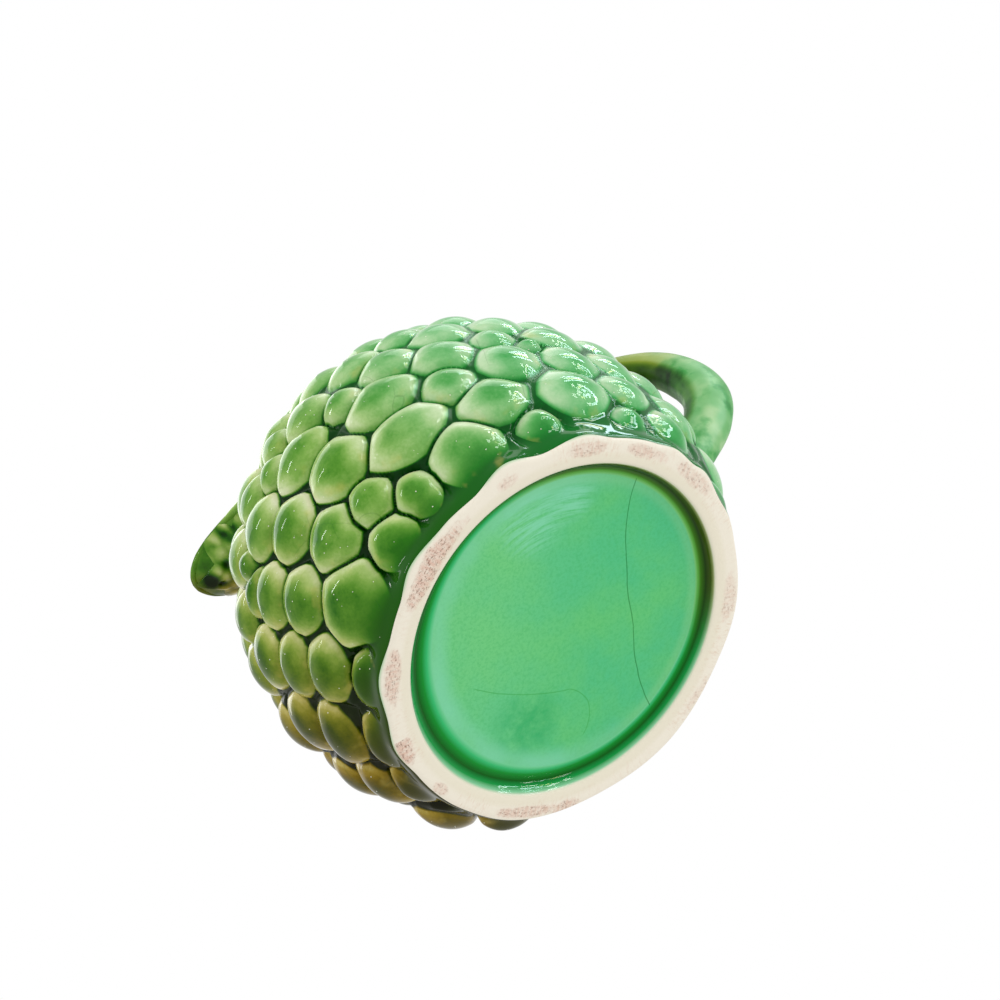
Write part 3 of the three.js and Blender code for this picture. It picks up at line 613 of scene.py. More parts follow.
def base_glaze():
    """Thin mottled glaze under the jug, pooled dark in the groove round it with painted shade, a
    painted sheen by the groove's inner edge, and paler inside.
    """
    glaze = Finish("base_glaze", 0.07)
    radius = glaze.from_axis / MM
    turn = turn_of(glaze)
    mottle = glaze.noise(30, 4, roughness=0.6)
    plain = glaze.mix(glaze.band(mottle, 0.32, 0.7), (98, 196, 118), (78, 190, 132))
    light_side = glaze.band(glaze.place.dot(LIGHT_SIDE), -0.3, 0.6)
    plain = glaze.mix(light_side * 0.5, plain, (122, 208, 138))
    grain = glaze.noise(900, 3, roughness=0.7)
    plain = glaze.mix(glaze.band(grain, 0.4, 0.7) * 0.32, plain, (58, 172, 92))
    pool = spot(glaze, 130, 32, 15) * glaze.band(glaze.noise(120, 4), 0.3, 0.66)
    plain = glaze.mix(pool * 0.75, plain, (30, 164, 92))
    inside_pool = pool_edge(glaze, turn) - radius
    halo = (glaze.band(inside_pool, 8, 1.5) * glaze.band((turn - 3.4).maths("COSINE"), -0.9, 0.3)
            * (0.5 + 0.5 * glaze.band(glaze.noise(60, 3), 0.3, 0.7)))
    plain = glaze.mix(halo * 0.75, plain, (128, 212, 172))
    swept = glaze.noise(1, 4, glaze.join(radius * 0.8, turn * 2.2, 3), roughness=0.7)
    brushed = (spot(glaze, 272, 39.5, 15) + spot(glaze, 292, 42, 10)).least(1)
    plain = glaze.mix(brushed * glaze.band(swept, 0.34, 0.62) * 0.75, plain, (132, 214, 178))
    # Painted sheen just inside the groove, on one side.
    shine = glaze.band(inside_pool, 4.2, 1.1) * glaze.band(turn.maths("COSINE"), -0.3, 0.5)
    plain = glaze.mix(shine * 0.3, plain, (140, 212, 152))
    plain = glaze.mix(glaze.band(inside_pool, 0.5, -0.2), plain, groove(glaze, radius, turn))
    plain = glaze.mix(crack(glaze, DARK_CRACK, 0.24) * 0.65, plain, (16, 110, 34))
    plain = glaze.mix(crack(glaze, PALE_CRACK, 0.24) * 0.5, plain, (50, 158, 60))
    inner_face = glaze.band(glaze.z, 0.0065, 0.0085)
    inner = glaze.mix(glaze.band(mottle, 0.32, 0.7), (166, 198, 124), (146, 190, 112))
    glaze.colour(glaze.mix(inner_face, plain, inner))
    glaze.relief(glaze.noise(40, 2) * 0.5 + grain * 0.02, 0.0009)
    return glaze.material


def bare_clay():
    """Bare fired clay of the foot, rubbed and stained, with glaze on its inner slope."""
    clay = Finish("foot_clay", 0.62)
    radius = clay.from_axis / MM
    turn = turn_of(clay)
    grain = clay.noise(1100, 3)
    cloud = clay.noise(90, 4, roughness=0.65)
    beige = clay.mix(clay.band(radius, 58.2, 55.8), CREAM, (234, 228, 210))
    combed = clay.noise(1, 4, clay.join(radius * 0.35, turn * 55, 0), roughness=0.75)
    scratched = clay.noise(1, 3, clay.join(radius * 1.6, turn * 26, 4), roughness=0.8)
    worn = None
    for at_turn, at_radius, half_turn, half_width, strength in FOOT_STAINS:
        off = (turn - math.radians((at_turn + 180) % 360 - 180)) / math.radians(half_turn)
        out = (radius - at_radius) / half_width
        patch = clay.band(off ** 2 + out ** 2 + 3.2 * (cloud - 0.5), 1.3, 0.2) * strength
        worn = patch if worn is None else worn.most(patch)
    top = clay.band(radius, 54.6, 56.6) * clay.band(radius, 62.4, 61)
    pink = worn * (0.35 + 0.65 * clay.band(combed, 0.36, 0.62))
    beige = clay.mix(pink * 0.66, beige, (212, 160, 142))
    rust = worn * clay.band(scratched, 0.5, 0.64) * clay.band(grain, 0.4, 0.6)
    beige = clay.mix(rust * 0.7, beige, (170, 112, 86))
    faint = clay.band(combed, 0.46, 0.7) * clay.band(clay.noise(45, 3), 0.4, 0.65) * top
    beige = clay.mix(faint * 0.45, beige, (216, 184, 160))
    dirt = clay.specks(900, 0.2, 0.12, 2)
    beige = clay.mix(dirt * worn * 0.8, beige, (84, 66, 50))
    beige = clay.mix(grain * 0.14, beige, (206, 196, 176))
    tide = clay.band(radius, 61, 62.6) * clay.band(clay.z, 0.0002, 0.0011)
    beige = clay.mix(tide * 0.7, beige, (150, 196, 150))
    # The inner slope takes the groove's colours, painted shade included.
    glazed = clay.band(radius, GROOVE_OUTER + 0.2, GROOVE_OUTER - 0.5)
    clay.colour(clay.mix(glazed, beige, groove(clay, radius, turn)))
    clay.roughness(0.62 - 0.55 * glazed)
    clay.relief((grain * 0.12 + cloud * 0.3 + rust * 0.35) * (1 - glazed), 0.0006)
    return clay.material


# Meshes


def put_up(name, data):
    """An object with this data, put into the scene."""
    made = bpy.data.objects.new(name, data)
    bpy.context.scene.collection.objects.link(made)
    return made


def keep(mesh, name, values, kind="FLOAT"):
    """Keeps a value for each point of the mesh, under a name."""
    kept = mesh.attributes.new(name, kind, "POINT")
    kept.data.foreach_set("vector" if kind == "FLOAT_VECTOR" else "value", values)


def in_scene(points):
    """Points in millimetres about the jug's axis, as metres in the scene."""
    return ((np.asarray(points, float) + (AXIS_X, 0, 0)) * MM).tolist()


def mesh_object(name, points, faces, material, merge=0):
    """A closed mesh from points in millimetres about the jug's axis. Points closer together
    than merge become one."""
    mesh = bpy.data.meshes.new(name)
    mesh.from_pydata(in_scene(points), [], faces)
    if merge:
        form = bmesh.new()
        form.from_mesh(mesh)
        bmesh.ops.remove_doubles(form, verts=form.verts, dist=merge * MM)
        form.to_mesh(mesh)
        form.free()
    mesh.validate()
    piece = put_up(name, mesh)
    mesh.materials.append(material)
    outward(mesh)
    smooth(mesh)
    return piece


def outward(mesh):
    """Turns every face of a closed mesh outwards."""
    form = bmesh.new()
    form.from_mesh(mesh)
    bmesh.ops.recalc_face_normals(form, faces=form.faces)
    form.to_mesh(mesh)
    form.free()


def smooth(mesh, angle=50):
    """Soft shading, with creases sharper than the angle kept."""
    mesh.polygons.foreach_set("use_smooth", [True] * len(mesh.polygons))
    mesh.set_sharp_from_angle(angle=math.radians(angle))


def softened(points, rounds):
    """A closed line of points with its corners cut, over and over."""
    for _ in range(rounds):
        cut = []
        for i, point in enumerate(points):
            a = np.array(point, float)
            b = np.array(points[(i + 1) % len(points)], float)
            cut += [a * 0.75 + b * 0.25, a * 0.25 + b * 0.75]
        points = cut
    return [tuple(p) for p in points]


def grid_faces(rows, columns, wrap_rows, wrap_columns):
    """Faces between rows of points that follow each other, closed round where it wraps."""
    faces = []
    for row in range(rows if wrap_rows else rows - 1):
        below = row * columns
        above = ((row + 1) % rows) * columns
        for column in range(columns if wrap_columns else columns - 1):
            beside = (column + 1) % columns
            faces.append((below + column, below + beside, above + beside, above + column))
    return faces


def turned(name, profile, sides, material, wave=None):
    """A closed profile of radius and height turned about the jug's axis. Where it starts
    and ends on the axis, its ends are points."""
    poles = profile[0][0] == 0
    rings = profile[1:-1] if poles else profile
    turns = np.radians(np.arange(sides) * 360 / sides)
    points = []
    for radius, height in rings:
        moved = radius + (wave(np.degrees(turns), radius, height) if wave else 0 * turns)
        points.append(np.stack(
            [moved * np.cos(turns), moved * np.sin(turns), np.full(sides, height)], 1))
    points = np.concatenate(points)
    faces = grid_faces(len(rings), sides, not poles, True)
    if poles:
        ends = [(0, 0, profile[0][1]), (0, 0, profile[-1][1])]
        start = len(points)
        points = np.concatenate([points, ends])
        last = (len(rings) - 1) * sides
        for s in range(sides):
            beside = (s + 1) % sides
            faces.append((start, beside, s))
            faces.append((start + 1, last + s, last + beside))
    return mesh_object(name, points, faces, material)


def foot_edge(turns):
    """Radius of the foot's wavy outer edge."""
    table = np.array(FOOT_EDGE)
    known = np.concatenate([table[:, 0] - 360, table[:, 0], table[:, 0] + 360])
    radii = np.tile(table[:, 1], 3)
    turns = np.asarray(turns) % 360
    after = np.searchsorted(known, turns, side="right")
    share = eased((turns - known[after - 1]) / (known[after] - known[after - 1]))
    return radii[after - 1] * (1 - share) + radii[after] * share


def wobble(seed):
    """A number from 0 to 1 that looks random and is the same each time."""
    value = math.sin(seed * 127.1 + 11.7) * 43758.5453
    return value - math.floor(value)


def directions(turn, latitude):
    """Unit directions at a place on the body: out of it, round it and up it."""
    t, l = math.radians(turn), math.radians(latitude)
    out = np.array((math.cos(l) * math.cos(t), math.cos(l) * math.sin(t), math.sin(l)))
    around = np.array((-math.sin(t), math.cos(t), 0))
    return out, around, np.cross(out, around)


# The bunch of grapes


def all_grapes():
    """The side that is given, the far side after it, and the rows up to the neck."""
    far = [(turn + 180, latitude, *rest) for turn, latitude, *rest in FRONT_GRAPES
           if FAR_FROM < turn < (FAR_TO_HIGH if latitude > FAR_LOW else FAR_TO_LOW)]
    grapes = [*FRONT_GRAPES, *far]
    for row, (latitude, count, half_height) in enumerate(SHOULDER_ROWS):
        girth = 2 * math.pi * WALL_RADIUS * math.cos(math.radians(latitude))
        for i in range(count):
            seed = row * 40 + i
            turn = (i + 0.5 * (row % 2) + 0.24 * wobble(seed)) * 360 / count
            half_width = girth / count / 2 * (0.94 + 0.12 * wobble(seed + 7))
            place = latitude + 1.6 * wobble(seed + 13) - 0.8
            grapes.append((turn, place, half_width, half_height))
    return grapes


def grape_places(grapes):
    """A point for each grape, which carries the grape's size and its oval directions."""
    mesh = bpy.data.meshes.new("grape_places")
    frames = [directions(grape[0], grape[1]) for grape in grapes]
    mesh.from_pydata([tuple(out) for out, _, _ in frames], [], [])
    keep(mesh, "size", [(grape[2] + grape[3]) / 2 for grape in grapes])
    keep(mesh, "lift", [grape[4] if len(grape) > 4 else 0 for grape in grapes])
    for name, part, half in (("across", 1, 2), ("along", 2, 3)):
        scaled = [f[part] * WALL_RADIUS / grape[half] for f, grape in zip(frames, grapes)]
        keep(mesh, name, np.concatenate(scaled), "FLOAT_VECTOR")
    return put_up("grape_places", mesh)


def node_group(name, inputs, result):
    """A new group, with inputs by label and kind and one geometry that it gives."""
    tree = bpy.data.node_groups.new(name, "GeometryNodeTree")
    for label, kind in inputs.items():
        tree.interface.new_socket(label, in_out="INPUT", socket_type="NodeSocket" + kind)
    tree.interface.new_socket(result, in_out="OUTPUT", socket_type="NodeSocketGeometry")
    web = Web(tree)
    entry = web.node("NodeGroupInput").socket.node
    return web, {label: Strand(web, entry.outputs[label]) for label in inputs}


def group_result(web, geometry, material):
    """Ends a group with its geometry in one material."""
    whole = web.node("GeometryNodeRealizeInstances", {"Geometry": geometry})
    dressed = web.node("GeometryNodeSetMaterial", {"Geometry": whole, "Material": material})
    web.feed(web.tree.nodes.new("NodeGroupOutput").inputs[0], dressed)
    return web.tree


FAR_AWAY = 90  # further than any grape is from any point, in a grape's own size


def grape_relief_tree(material):
    """Presses a bunch of grapes into a round wall: each point of the wall belongs to the
    nearest grape, counted in that grape's own size, and stands as high as its dome."""
    web, given = node_group("grape_relief", {
        "Wall": "Geometry", "Grapes": "Object", "Middle": "Vector", "Top radius": "Float",
        "Size gain": "Float", "Tip": "Float", "Dome depth": "Float", "Dome fill": "Float",
        "Dome crown": "Float", "Crevice depth": "Float", "Crevice width": "Float",
        "Belly": "Float", "Soft side": "Vector", "Softening": "Float",
    }, "Bunch")
    grapes = web.node("GeometryNodeObjectInfo", {"Object": given["Grapes"]}, "Geometry")
    count = web.node("GeometryNodeAttributeDomainSize", {"Geometry": grapes}, "Point Count")

    def named(name, kind="FLOAT_VECTOR"):
        return web.node("GeometryNodeInputNamedAttribute", {"Name": name}, data_type=kind)

    def store(geometry, name, value, kind):
        return web.node(
            "GeometryNodeStoreNamedAttribute",
            {"Geometry": geometry, "Name": name, "Value": value}, data_type=kind,
            domain="POINT")

    def of_grape(value, index, kind="FLOAT_VECTOR"):
        return web.node(
            "GeometryNodeSampleIndex", {"Geometry": grapes, "Value": value, "Index": index},
            data_type=kind, domain="POINT")

    position = web.node("GeometryNodeInputPosition")
    ray = position.vector("SUBTRACT", given["Middle"]).vector("NORMALIZE")
    wall = store(given["Wall"], "ray", ray, "FLOAT_VECTOR")
    wall = store(wall, "near", web.join(FAR_AWAY, FAR_AWAY, 0), "FLOAT_VECTOR")

    start = web.tree.nodes.new("GeometryNodeRepeatInput")
    end = web.tree.nodes.new("GeometryNodeRepeatOutput")
    start.pair_with_output(end)
    web.feed(start.inputs["Iterations"], count)
    web.feed(start.inputs["Geometry"], wall)
    index = Strand(web, start.outputs["Iteration"])
    out = of_grape(position, index)
    across = named("ray").dot(of_grape(named("across"), index))
    along = named("ray").dot(of_grape(named("along"), index)).maths("ABSOLUTE")
    behind = named("ray").dot(out) < 0.5
    tip = given["Tip"]
    lean = (1 - tip ** 2) / (2 * tip)
    narrow = along * tip
    distance = narrow * lean + web.join(
        across, narrow * (1 + lean ** 2) ** 0.5, behind * 50).length()
    nearest, second, owner = named("near").parts()
    closer = distance < nearest
    state = web.join(
        nearest.least(distance), second.least(nearest.most(distance)),
        owner + closer * (index - owner))
    kept = store(Strand(web, start.outputs["Geometry"]), "near", state, "FLOAT_VECTOR")
    web.feed(end.inputs["Geometry"], kept)
    bunch = Strand(web, end.outputs["Geometry"])

    nearest, second, owner = named("near").parts()
    size = of_grape(named("size", "FLOAT"), owner, "FLOAT")
    seam = (second - nearest) * size * 0.5
    rise = named("ray").dot(of_grape(named("along"), owner))
    bunch = store(bunch, "seam", seam, "FLOAT")
    bunch = store(bunch, "rise", rise, "FLOAT")
    nearest, second, _ = named("near").parts()
    oval = nearest * 0.94
    filled = 2 * nearest / (nearest + second)
    soft = web.band(named("ray").dot(given["Soft side"]), -0.1, 0.8) * given["Softening"]
    bunch = store(bunch, "soft", soft, "FLOAT")
    soft = named("soft", "FLOAT")
    edge = oval + given["Dome fill"] * (1 - soft) * (filled - oval)
    bunch = store(bunch, "edge", edge, "FLOAT")
    edge = web.node(
        "ShaderNodeMath", [edge, 0.985 - 0.25 * soft, 0.02 + 0.45 * soft], operation="SMOOTH_MIN")
    crown = edge ** 2
    ball = 1 - (1 - crown) ** 0.5
    dome = given["Dome depth"] * (ball + given["Dome crown"] * (crown - ball))
    crevice = given["Crevice depth"] * (
        -((named("seam", "FLOAT") / given["Crevice width"]) ** 2)).maths("EXPONENT")
    sunk = dome * (1 - 0.6 * soft) + crevice * (1 - 2 * soft)
    bunch = store(bunch, "sunk", sunk, "FLOAT")
    low = web.band(named("ray").parts()[2], -0.2, -0.45) * given["Belly"]
    lift = of_grape(named("lift", "FLOAT"), owner, "FLOAT")
    top = given["Top radius"] + given["Size gain"] * (size - 10) + lift + low
    height = top - named("sunk", "FLOAT")
    offset = height * MM - position.vector("SUBTRACT", given["Middle"]).length()
    moved = named("ray").scaled(offset * named("relief", "FLOAT"))
    shaped = web.node("GeometryNodeSetPosition", {"Geometry": bunch, "Offset": moved})
    return group_result(web, shaped, material)


def set_inputs(modifier, values):
    """Sets a modifier's inputs, which are known by name, through their identifiers."""
    for item in modifier.node_group.interface.items_tree:
        if item.in_out == "INPUT" and item.name in values:
            modifier[item.identifier] = values[item.name]


def applied(piece):
    """The piece with its modifiers turned into a plain mesh."""
    bpy.context.view_layer.update()
    shown = piece.evaluated_get(bpy.context.evaluated_depsgraph_get())
    mesh = bpy.data.meshes.new_from_object(shown)
    mesh.name = piece.name
    piece.modifiers.clear()
    piece.data = mesh
    return piece


def ball_line(radius, low, high, steps):
    """A line up a ball round the body's middle, between two heights."""
    ends = [math.asin((height - BODY_HEIGHT) / radius) for height in (low, high)]
    return [(radius * math.cos(angle), BODY_HEIGHT + radius * math.sin(angle))
            for angle in np.linspace(*ends, steps)]


def body_wall(name, low, outer, top, inner, bottom, material):
    """A round wall before the grapes are pressed in: up its outside, down its inside."""
    profile = [*low, *outer, *top, *inner, *bottom]
    outside = len(low) + len(outer)

    def wave(turns, radius, height):
        share = unit((height - FOOT_TOP) / 7)
        low_side = radius > 57 and height < 12
        return (foot_edge(turns) - FOOT_EDGE_RADIUS) * (1 - share) * low_side

    wall = turned(name, profile, AROUND, material, wave)
    strengths = []
    for i, (radius, height) in enumerate(profile):
        rise = eased(unit((height - GRAPES_FROM) / GRAPES_RISE))
        fall = unit((radius - COLLAR_RADIUS) / COLLAR_FADE)
        strengths += [rise * fall if i < outside else 0.0] * AROUND
    keep(wall.data, "relief", strengths)
    return wall


def bowl_wall(material):
    """The wall from the foot up to the seam, spread out a little just above the foot."""
    low = [(FOOT_EDGE_RADIUS - 0.5, FOOT_TOP), (FOOT_EDGE_RADIUS - 0.05, FOOT_TOP + 0.25)]
    first = FOOT_TOP + 0.6
    steps = 11
    for i in range(steps):
        height = first + (FOOT_COVE - first) * i / steps
        flare = FOOT_FLARE * max(0, 1 - (height - FOOT_TOP) / 13) ** 2
        ball = math.sqrt((COVE_RADIUS + flare) ** 2 - (BODY_HEIGHT - height) ** 2)
        low.append((max(ball, FOOT_EDGE_RADIUS + 0.05), height))
    outer = ball_line(SKIN_RADIUS, FOOT_COVE, PARTING, 118)
    inner = ball_line(CAVITY_RADIUS, PARTING, 8.5, 9)
    bottom = [(54.2, 6), (56, 2.4), (59, FOOT_TOP)]
    return body_wall("grape_bowl", low, outer, [], inner, bottom, material)


def shoulder_wall(material):
    """The wall from the seam up to the neck's foot."""
    outer = ball_line(SKIN_RADIUS, PARTING, 113.4, 56)
    top = [(43.2, 115.4), (41.4, 115.6), (39.6, 115), (39, 112.5), (39, 108.6)]
    inner = ball_line(CAVITY_RADIUS, 106, PARTING, 7)
    return body_wall("grape_collar", [], outer, top, inner, [], material)


def grape_bunch():
    """The bunch in two pieces, which meet all round at the seam."""
    glaze = grape_glaze()
    places = grape_places(all_grapes())
    tree = grape_relief_tree(glaze)
    pieces = [bowl_wall(glaze), shoulder_wall(glaze)]
    for piece in pieces:
        press = piece.modifiers.new("grapes", "NODES")
        press.node_group = tree
        set_inputs(press, {
            "Grapes": places, "Middle": (AXIS_X * MM, 0, BODY_HEIGHT * MM),
            "Top radius": WALL_RADIUS, "Size gain": GRAPE_GAIN, "Tip": GRAPE_TIP,
            "Dome depth": DOME_DEPTH, "Dome fill": DOME_FILL, "Dome crown": DOME_CROWN,
            "Crevice depth": CREVICE_DEPTH, "Crevice width": CREVICE_WIDTH,
            "Belly": BELLY, "Soft side": SOFT_SIDE, "Softening": SOFTENING,
        })
        applied(piece)
        smooth(piece.data, 80)
    bpy.data.objects.remove(places)
    return pieces


# Foot and base


def foot_piece():
    """The ring that the jug stands on, whose outer edge the grapes push in and out."""
    profile = softened([
        (49.2, BASE_UNDER), (50.6, 4.3), (51.8, 3.4), (52.6, 2.2), (53.1, 1.1), (53.8, 0.4),
        (55.4, 0.12), (57.2, 0.02), (59.5, 0), (61, 0.05), (61.9, 0.6), (61.9, 2), (60, BASE_UNDER),
        (56, 6), (49.2, 6),
    ], 3)

    def wave(turns, radius, height):
        return (foot_edge(turns) - FOOT_EDGE_RADIUS) * eased(unit((radius - 56) / 5))

    return turned("foot", profile, 360, bare_clay(), wave)


def base_piece():
    """The disc that closes the bottom. Its lower face has many rings, for its shading."""
    radii = [0.01, *np.linspace(2, 48, 24), 50, 52, 53.4]
    under = [(0, BASE_UNDER)] + [(r, BASE_UNDER) for r in radii]
    over = [(53.6, BASE_OVER - 0.2), (50, BASE_OVER), (20, BASE_OVER), (0, BASE_OVER)]
    return turned("base", under + over, 240, base_glaze())


# Shapes that follow a path


def path_object(name, points, thickness, closed):
    """A line of points in millimetres about the jug's axis, with a half width at each."""
    mesh = bpy.data.meshes.new(name)
    count = len(points)
    edges = [(i, (i + 1) % count) for i in range(count if closed else count - 1)]
    mesh.from_pydata(in_scene(points), edges, [])
    keep(mesh, "half_width", np.asarray(thickness, float) * MM)
    return put_up(name, mesh)


def tube_tree(name, material):
    """A tube along a path, as wide as the path says and flattened one way, with a skin that
    swells and dips softly."""
    web, given = node_group(name, {
        "Path": "Geometry", "Sides": "Int", "Width": "Float", "Depth": "Float",
        "Swell": "Float", "Swell scale": "Float", "Seed": "Float",
    }, "Tube")
    line = web.node("GeometryNodeMeshToCurve", {"Mesh": given["Path"]})
    line = web.node("GeometryNodeSetCurveNormal", {"Curve": line}, mode="MINIMUM_TWIST")
    half = web.node("GeometryNodeInputNamedAttribute", {"Name": "half_width"}, data_type="FLOAT")
    line = web.node("GeometryNodeSetCurveRadius", {"Curve": line, "Radius": half})
    round_line = web.node("GeometryNodeCurvePrimitiveCircle", {
        "Resolution": given["Sides"], "Radius": 1.0})
    oval = web.node("GeometryNodeTransform", {
        "Geometry": round_line, "Scale": web.join(given["Width"], given["Depth"], 1)})
    tube = web.node("GeometryNodeCurveToMesh", {
        "Curve": line, "Profile Curve": oval, "Scale": half, "Fill Caps": True})
    skin = web.node("ShaderNodeTexNoise", {
        "W": given["Seed"], "Scale": given["Swell scale"], "Detail": 2.0},
        noise_dimensions="4D")
    push = web.node("GeometryNodeInputNormal").scaled((skin - 0.5) * given["Swell"] * MM)
    swollen = web.node("GeometryNodeSetPosition", {"Geometry": tube, "Offset": push})
    return group_result(web, swollen, material)


def tube(name, points, thickness, closed, material, **inputs):
    """A plain mesh of a tube. Its other inputs are the tree's, with _ for a space."""
    piece = path_object(name, points, thickness, closed)
    sweep = piece.modifiers.new("tube", "NODES")
    sweep.node_group = tube_tree(name + "_tube", material)
    set_inputs(sweep, {label.replace("_", " "): value for label, value in inputs.items()})
    applied(piece)
    outward(piece.data)
    smooth(piece.data, 70)
    return piece


def curve_through(knots, steps):
    """Evenly counted places along a smooth line through the knots, with their widths."""
    knots = np.array(knots, float)
    ends = np.concatenate([[2 * knots[0] - knots[1]], knots, [2 * knots[-1] - knots[-2]]])
    line = []
    for step in range(steps + 1):
        along = step / steps * (len(knots) - 1)
        i = min(int(along), len(knots) - 2)
        t = along - i
        a, b, c, d = ends[i:i + 4]
        line.append(0.5 * (2 * b + (c - a) * t + (2 * a - 5 * b + 4 * c - d) * t ** 2
                           + (3 * b - a - 3 * c + d) * t ** 3))
    return np.array(line)


def handle_piece(material):
    """The branch, with how far each point lies on the loop's inner side kept for its glaze and
    painted shade.
    """
    line = curve_through(HANDLE_PATH, 200)
    points = line[:, :3]
    piece = tube("branch_handle", points, line[:, 3], False, material, Sides=64, Width=0.85,
                 Depth=0.97, Swell=0.7, Swell_scale=55.0, Seed=4.0)
    loop_middle = np.array(HANDLE_LOOP_MIDDLE)
    skin = np.array([v.co for v in piece.data.vertices]) / MM - (AXIS_X, 0, 0)
    nearest = np.argmin(((skin[:, None] - points[None]) ** 2).sum(axis=2), axis=1)
    inward = loop_middle - points[nearest]
    inward /= np.linalg.norm(inward, axis=1)[:, None]
    lean = ((skin - points[nearest]) * inward).sum(axis=1) / line[nearest, 3]
    keep(piece.data, "inner", np.clip(lean * 1.3 + 0.1, 0, 1))
    return piece


# Neck, rim and lip


def lip_at(distance):
    """Half width of the lip, height of its underside and of its edge, at a distance."""
    table = np.array(LIP_SECTIONS, float)
    knots, half_widths, *heights = table.T
    half_width = math.sqrt(np.interp(distance, knots, half_widths ** 2))
    return [half_width, *(float(np.interp(distance, knots, column)) for column in heights)]


def lip_outline(inset, steps):
    """The lip's edge seen from above, from one side of the mouth round the tip to the other,
    moved in by inset. The spine point across from each is returned with it."""
    places = []
    for step in range(steps + 1):
        half = math.cos(math.pi * step / steps)
        distance = LIP_ROOT + (LIP_TIP - inset - LIP_ROOT) * math.sqrt(1 - half ** 2)
        width = max(0.0, lip_at(min(distance + inset * 0.35, LIP_TIP))[0] - inset)
        width = width if step not in (0, steps) else lip_at(LIP_ROOT)[0] - inset
        side = 0.0 if step * 2 == steps else math.copysign(width, half)
        spine = min(distance, LIP_TIP - LIP_KEEL)
        places.append(((distance, side), (spine, 0.0)))
    return places


def lip_height(distance, share):
    """Height of the lip's outer skin, from its keel (share 0) to its edge (share 1)."""
    _, under, edge = lip_at(distance)
    return under + (edge - under) * abs(share) ** LIP_BOWL


def spout_piece(material):
    """The trough, as rings of points that shrink from its edge to its keel, out and in."""
    steps, rings = 120, 22
    points = []
    layers = [(0.0, k / rings, 0.0) for k in range(rings + 1)]
    layers += [(LIP_WALL - 0.6, 1 - k / rings, LIP_WALL) for k in range(rings + 1)]
    for inset, share, lift in layers:
        for (distance, side), (spine, _) in lip_outline(inset, steps):
            d = spine + (distance - spine) * share
            y = side * share
            low = lip_height(d, 0) + lift
            z = low + (lip_height(d, 1) - low) * share ** LIP_BOWL
            points.append((-d, y, z))
    columns = steps + 1
    faces = grid_faces(len(layers), columns, True, False)
    for side in (0, steps):
        faces.append(tuple(row * columns + side for row in range(len(layers))))
    return mesh_object("spout", points, faces, material, merge=0.002)


def neck_piece(material):
    """The collar between the shoulder and the rim, cut down where the lip leaves it."""
    profile = softened([
        (NECK_OUTER, NECK_FOOT), (NECK_OUTER, 113), (40.4, 118), (40.8, 124),
        (NECK_OUTER, MOUTH_TOP), (36.6, MOUTH_TOP), (36.4, 124), (35.6, 119),
        (MOUTH_RADIUS, 113), (38.6, NECK_FOOT),
    ], 2)
    piece = turned("neck_collar", profile, 240, material)
    for vertex in piece.data.vertices:
        x, y, z = vertex.co.x / MM - AXIS_X, vertex.co.y / MM, vertex.co.z / MM
        off = abs(math.degrees(math.atan2(y, -x)))
        open_share = unit((LIP_HALF_TURN - 1 - off) / 4)
        if z > LIP_NOTCH_HEIGHT:
            cut = LIP_NOTCH_HEIGHT + (z - LIP_NOTCH_HEIGHT) * 0.16
            vertex.co.z = (z + (cut - z) * open_share) * MM
    return piece


def rim_line():
    """Middle of the rounded rim: round the mouth and out along the lip's edge."""
    line = []
    for turn in np.linspace(-180 + LIP_HALF_TURN + 4, 180 - LIP_HALF_TURN - 4, 150):
        x = RIM_LINE_RADIUS * math.cos(math.radians(turn))
        y = RIM_LINE_RADIUS * math.sin(math.radians(turn))
        line.append((x, y, MOUTH_TOP, RIM_HALF_WIDTH))
    for (distance, side), _ in lip_outline(1.3, 90):
        if distance > LIP_BEAD_START:
            along = (distance - LIP_BEAD_START) / 25
            bead = 2.2 - 1.1 * min(1, along * 3) - 0.1 * along
            low = 0.9 - 0.5 * min(1, along * 3)
            line.append((-distance, side, lip_height(distance, 1) - low, bead))
    return line


def rim_piece(material):
    """The rounded bead along the rim's line, once the line's corners are eased."""
    line = np.array(rim_line())
    for _ in range(6):
        line = (np.roll(line, 1, axis=0) + 2 * line + np.roll(line, -1, axis=0)) / 4
    return tube("rim_bead", line[:, :3], line[:, 3], True, material, Sides=28, Width=1.05,
                Depth=0.95, Swell=0.35, Swell_scale=70.0, Seed=9.0)


# Vine leaves

# Lobes of a vine leaf: turn from its tip, length as a share of the longest, half spread
LEAF_LOBES = [(0, 1, 40), (60, 0.93, 38), (-60, 0.93, 38), (120, 0.8, 36), (-120, 0.8, 36)]
LEAF_SIZE = 21.5
LEAF_SPREAD_RADIUS = 79  # from the body's middle to the flat that a leaf is laid out on
LEAF_BED_RADIUS = 79.3  # and to the ball that it is then bent to
LEAF_HEART = 0.52  # how far a leaf reaches between its lobes
LEAF_BACK = -1.6  # how deep a leaf's back lies in what it is pressed on, and its edge
LEAF_EDGE = -0.4
VEIN_GAP = 4.4


def lobe_turn(turn, lobe):
    """Degrees from a lobe's middle, from -180 to 180."""
    return (turn - lobe + 180) % 360 - 180


def leaf_reach(turn):
    """How far a vine leaf reaches from its middle, as a share of its longest lobe."""
    reach = LEAF_HEART
    for lobe, length, spread in LEAF_LOBES:
        off = abs(lobe_turn(turn, lobe)) / spread
        if off < 1:
            reach = max(reach, LEAF_HEART + (length - LEAF_HEART) * (1 - off ** 1.35))
    notch = abs(lobe_turn(turn, 180)) / 16
    if notch < 1:
        reach *= 0.55 + 0.45 * notch ** 0.8
    return reach * (1 + 0.035 * abs(math.sin(math.radians(turn * 9))))


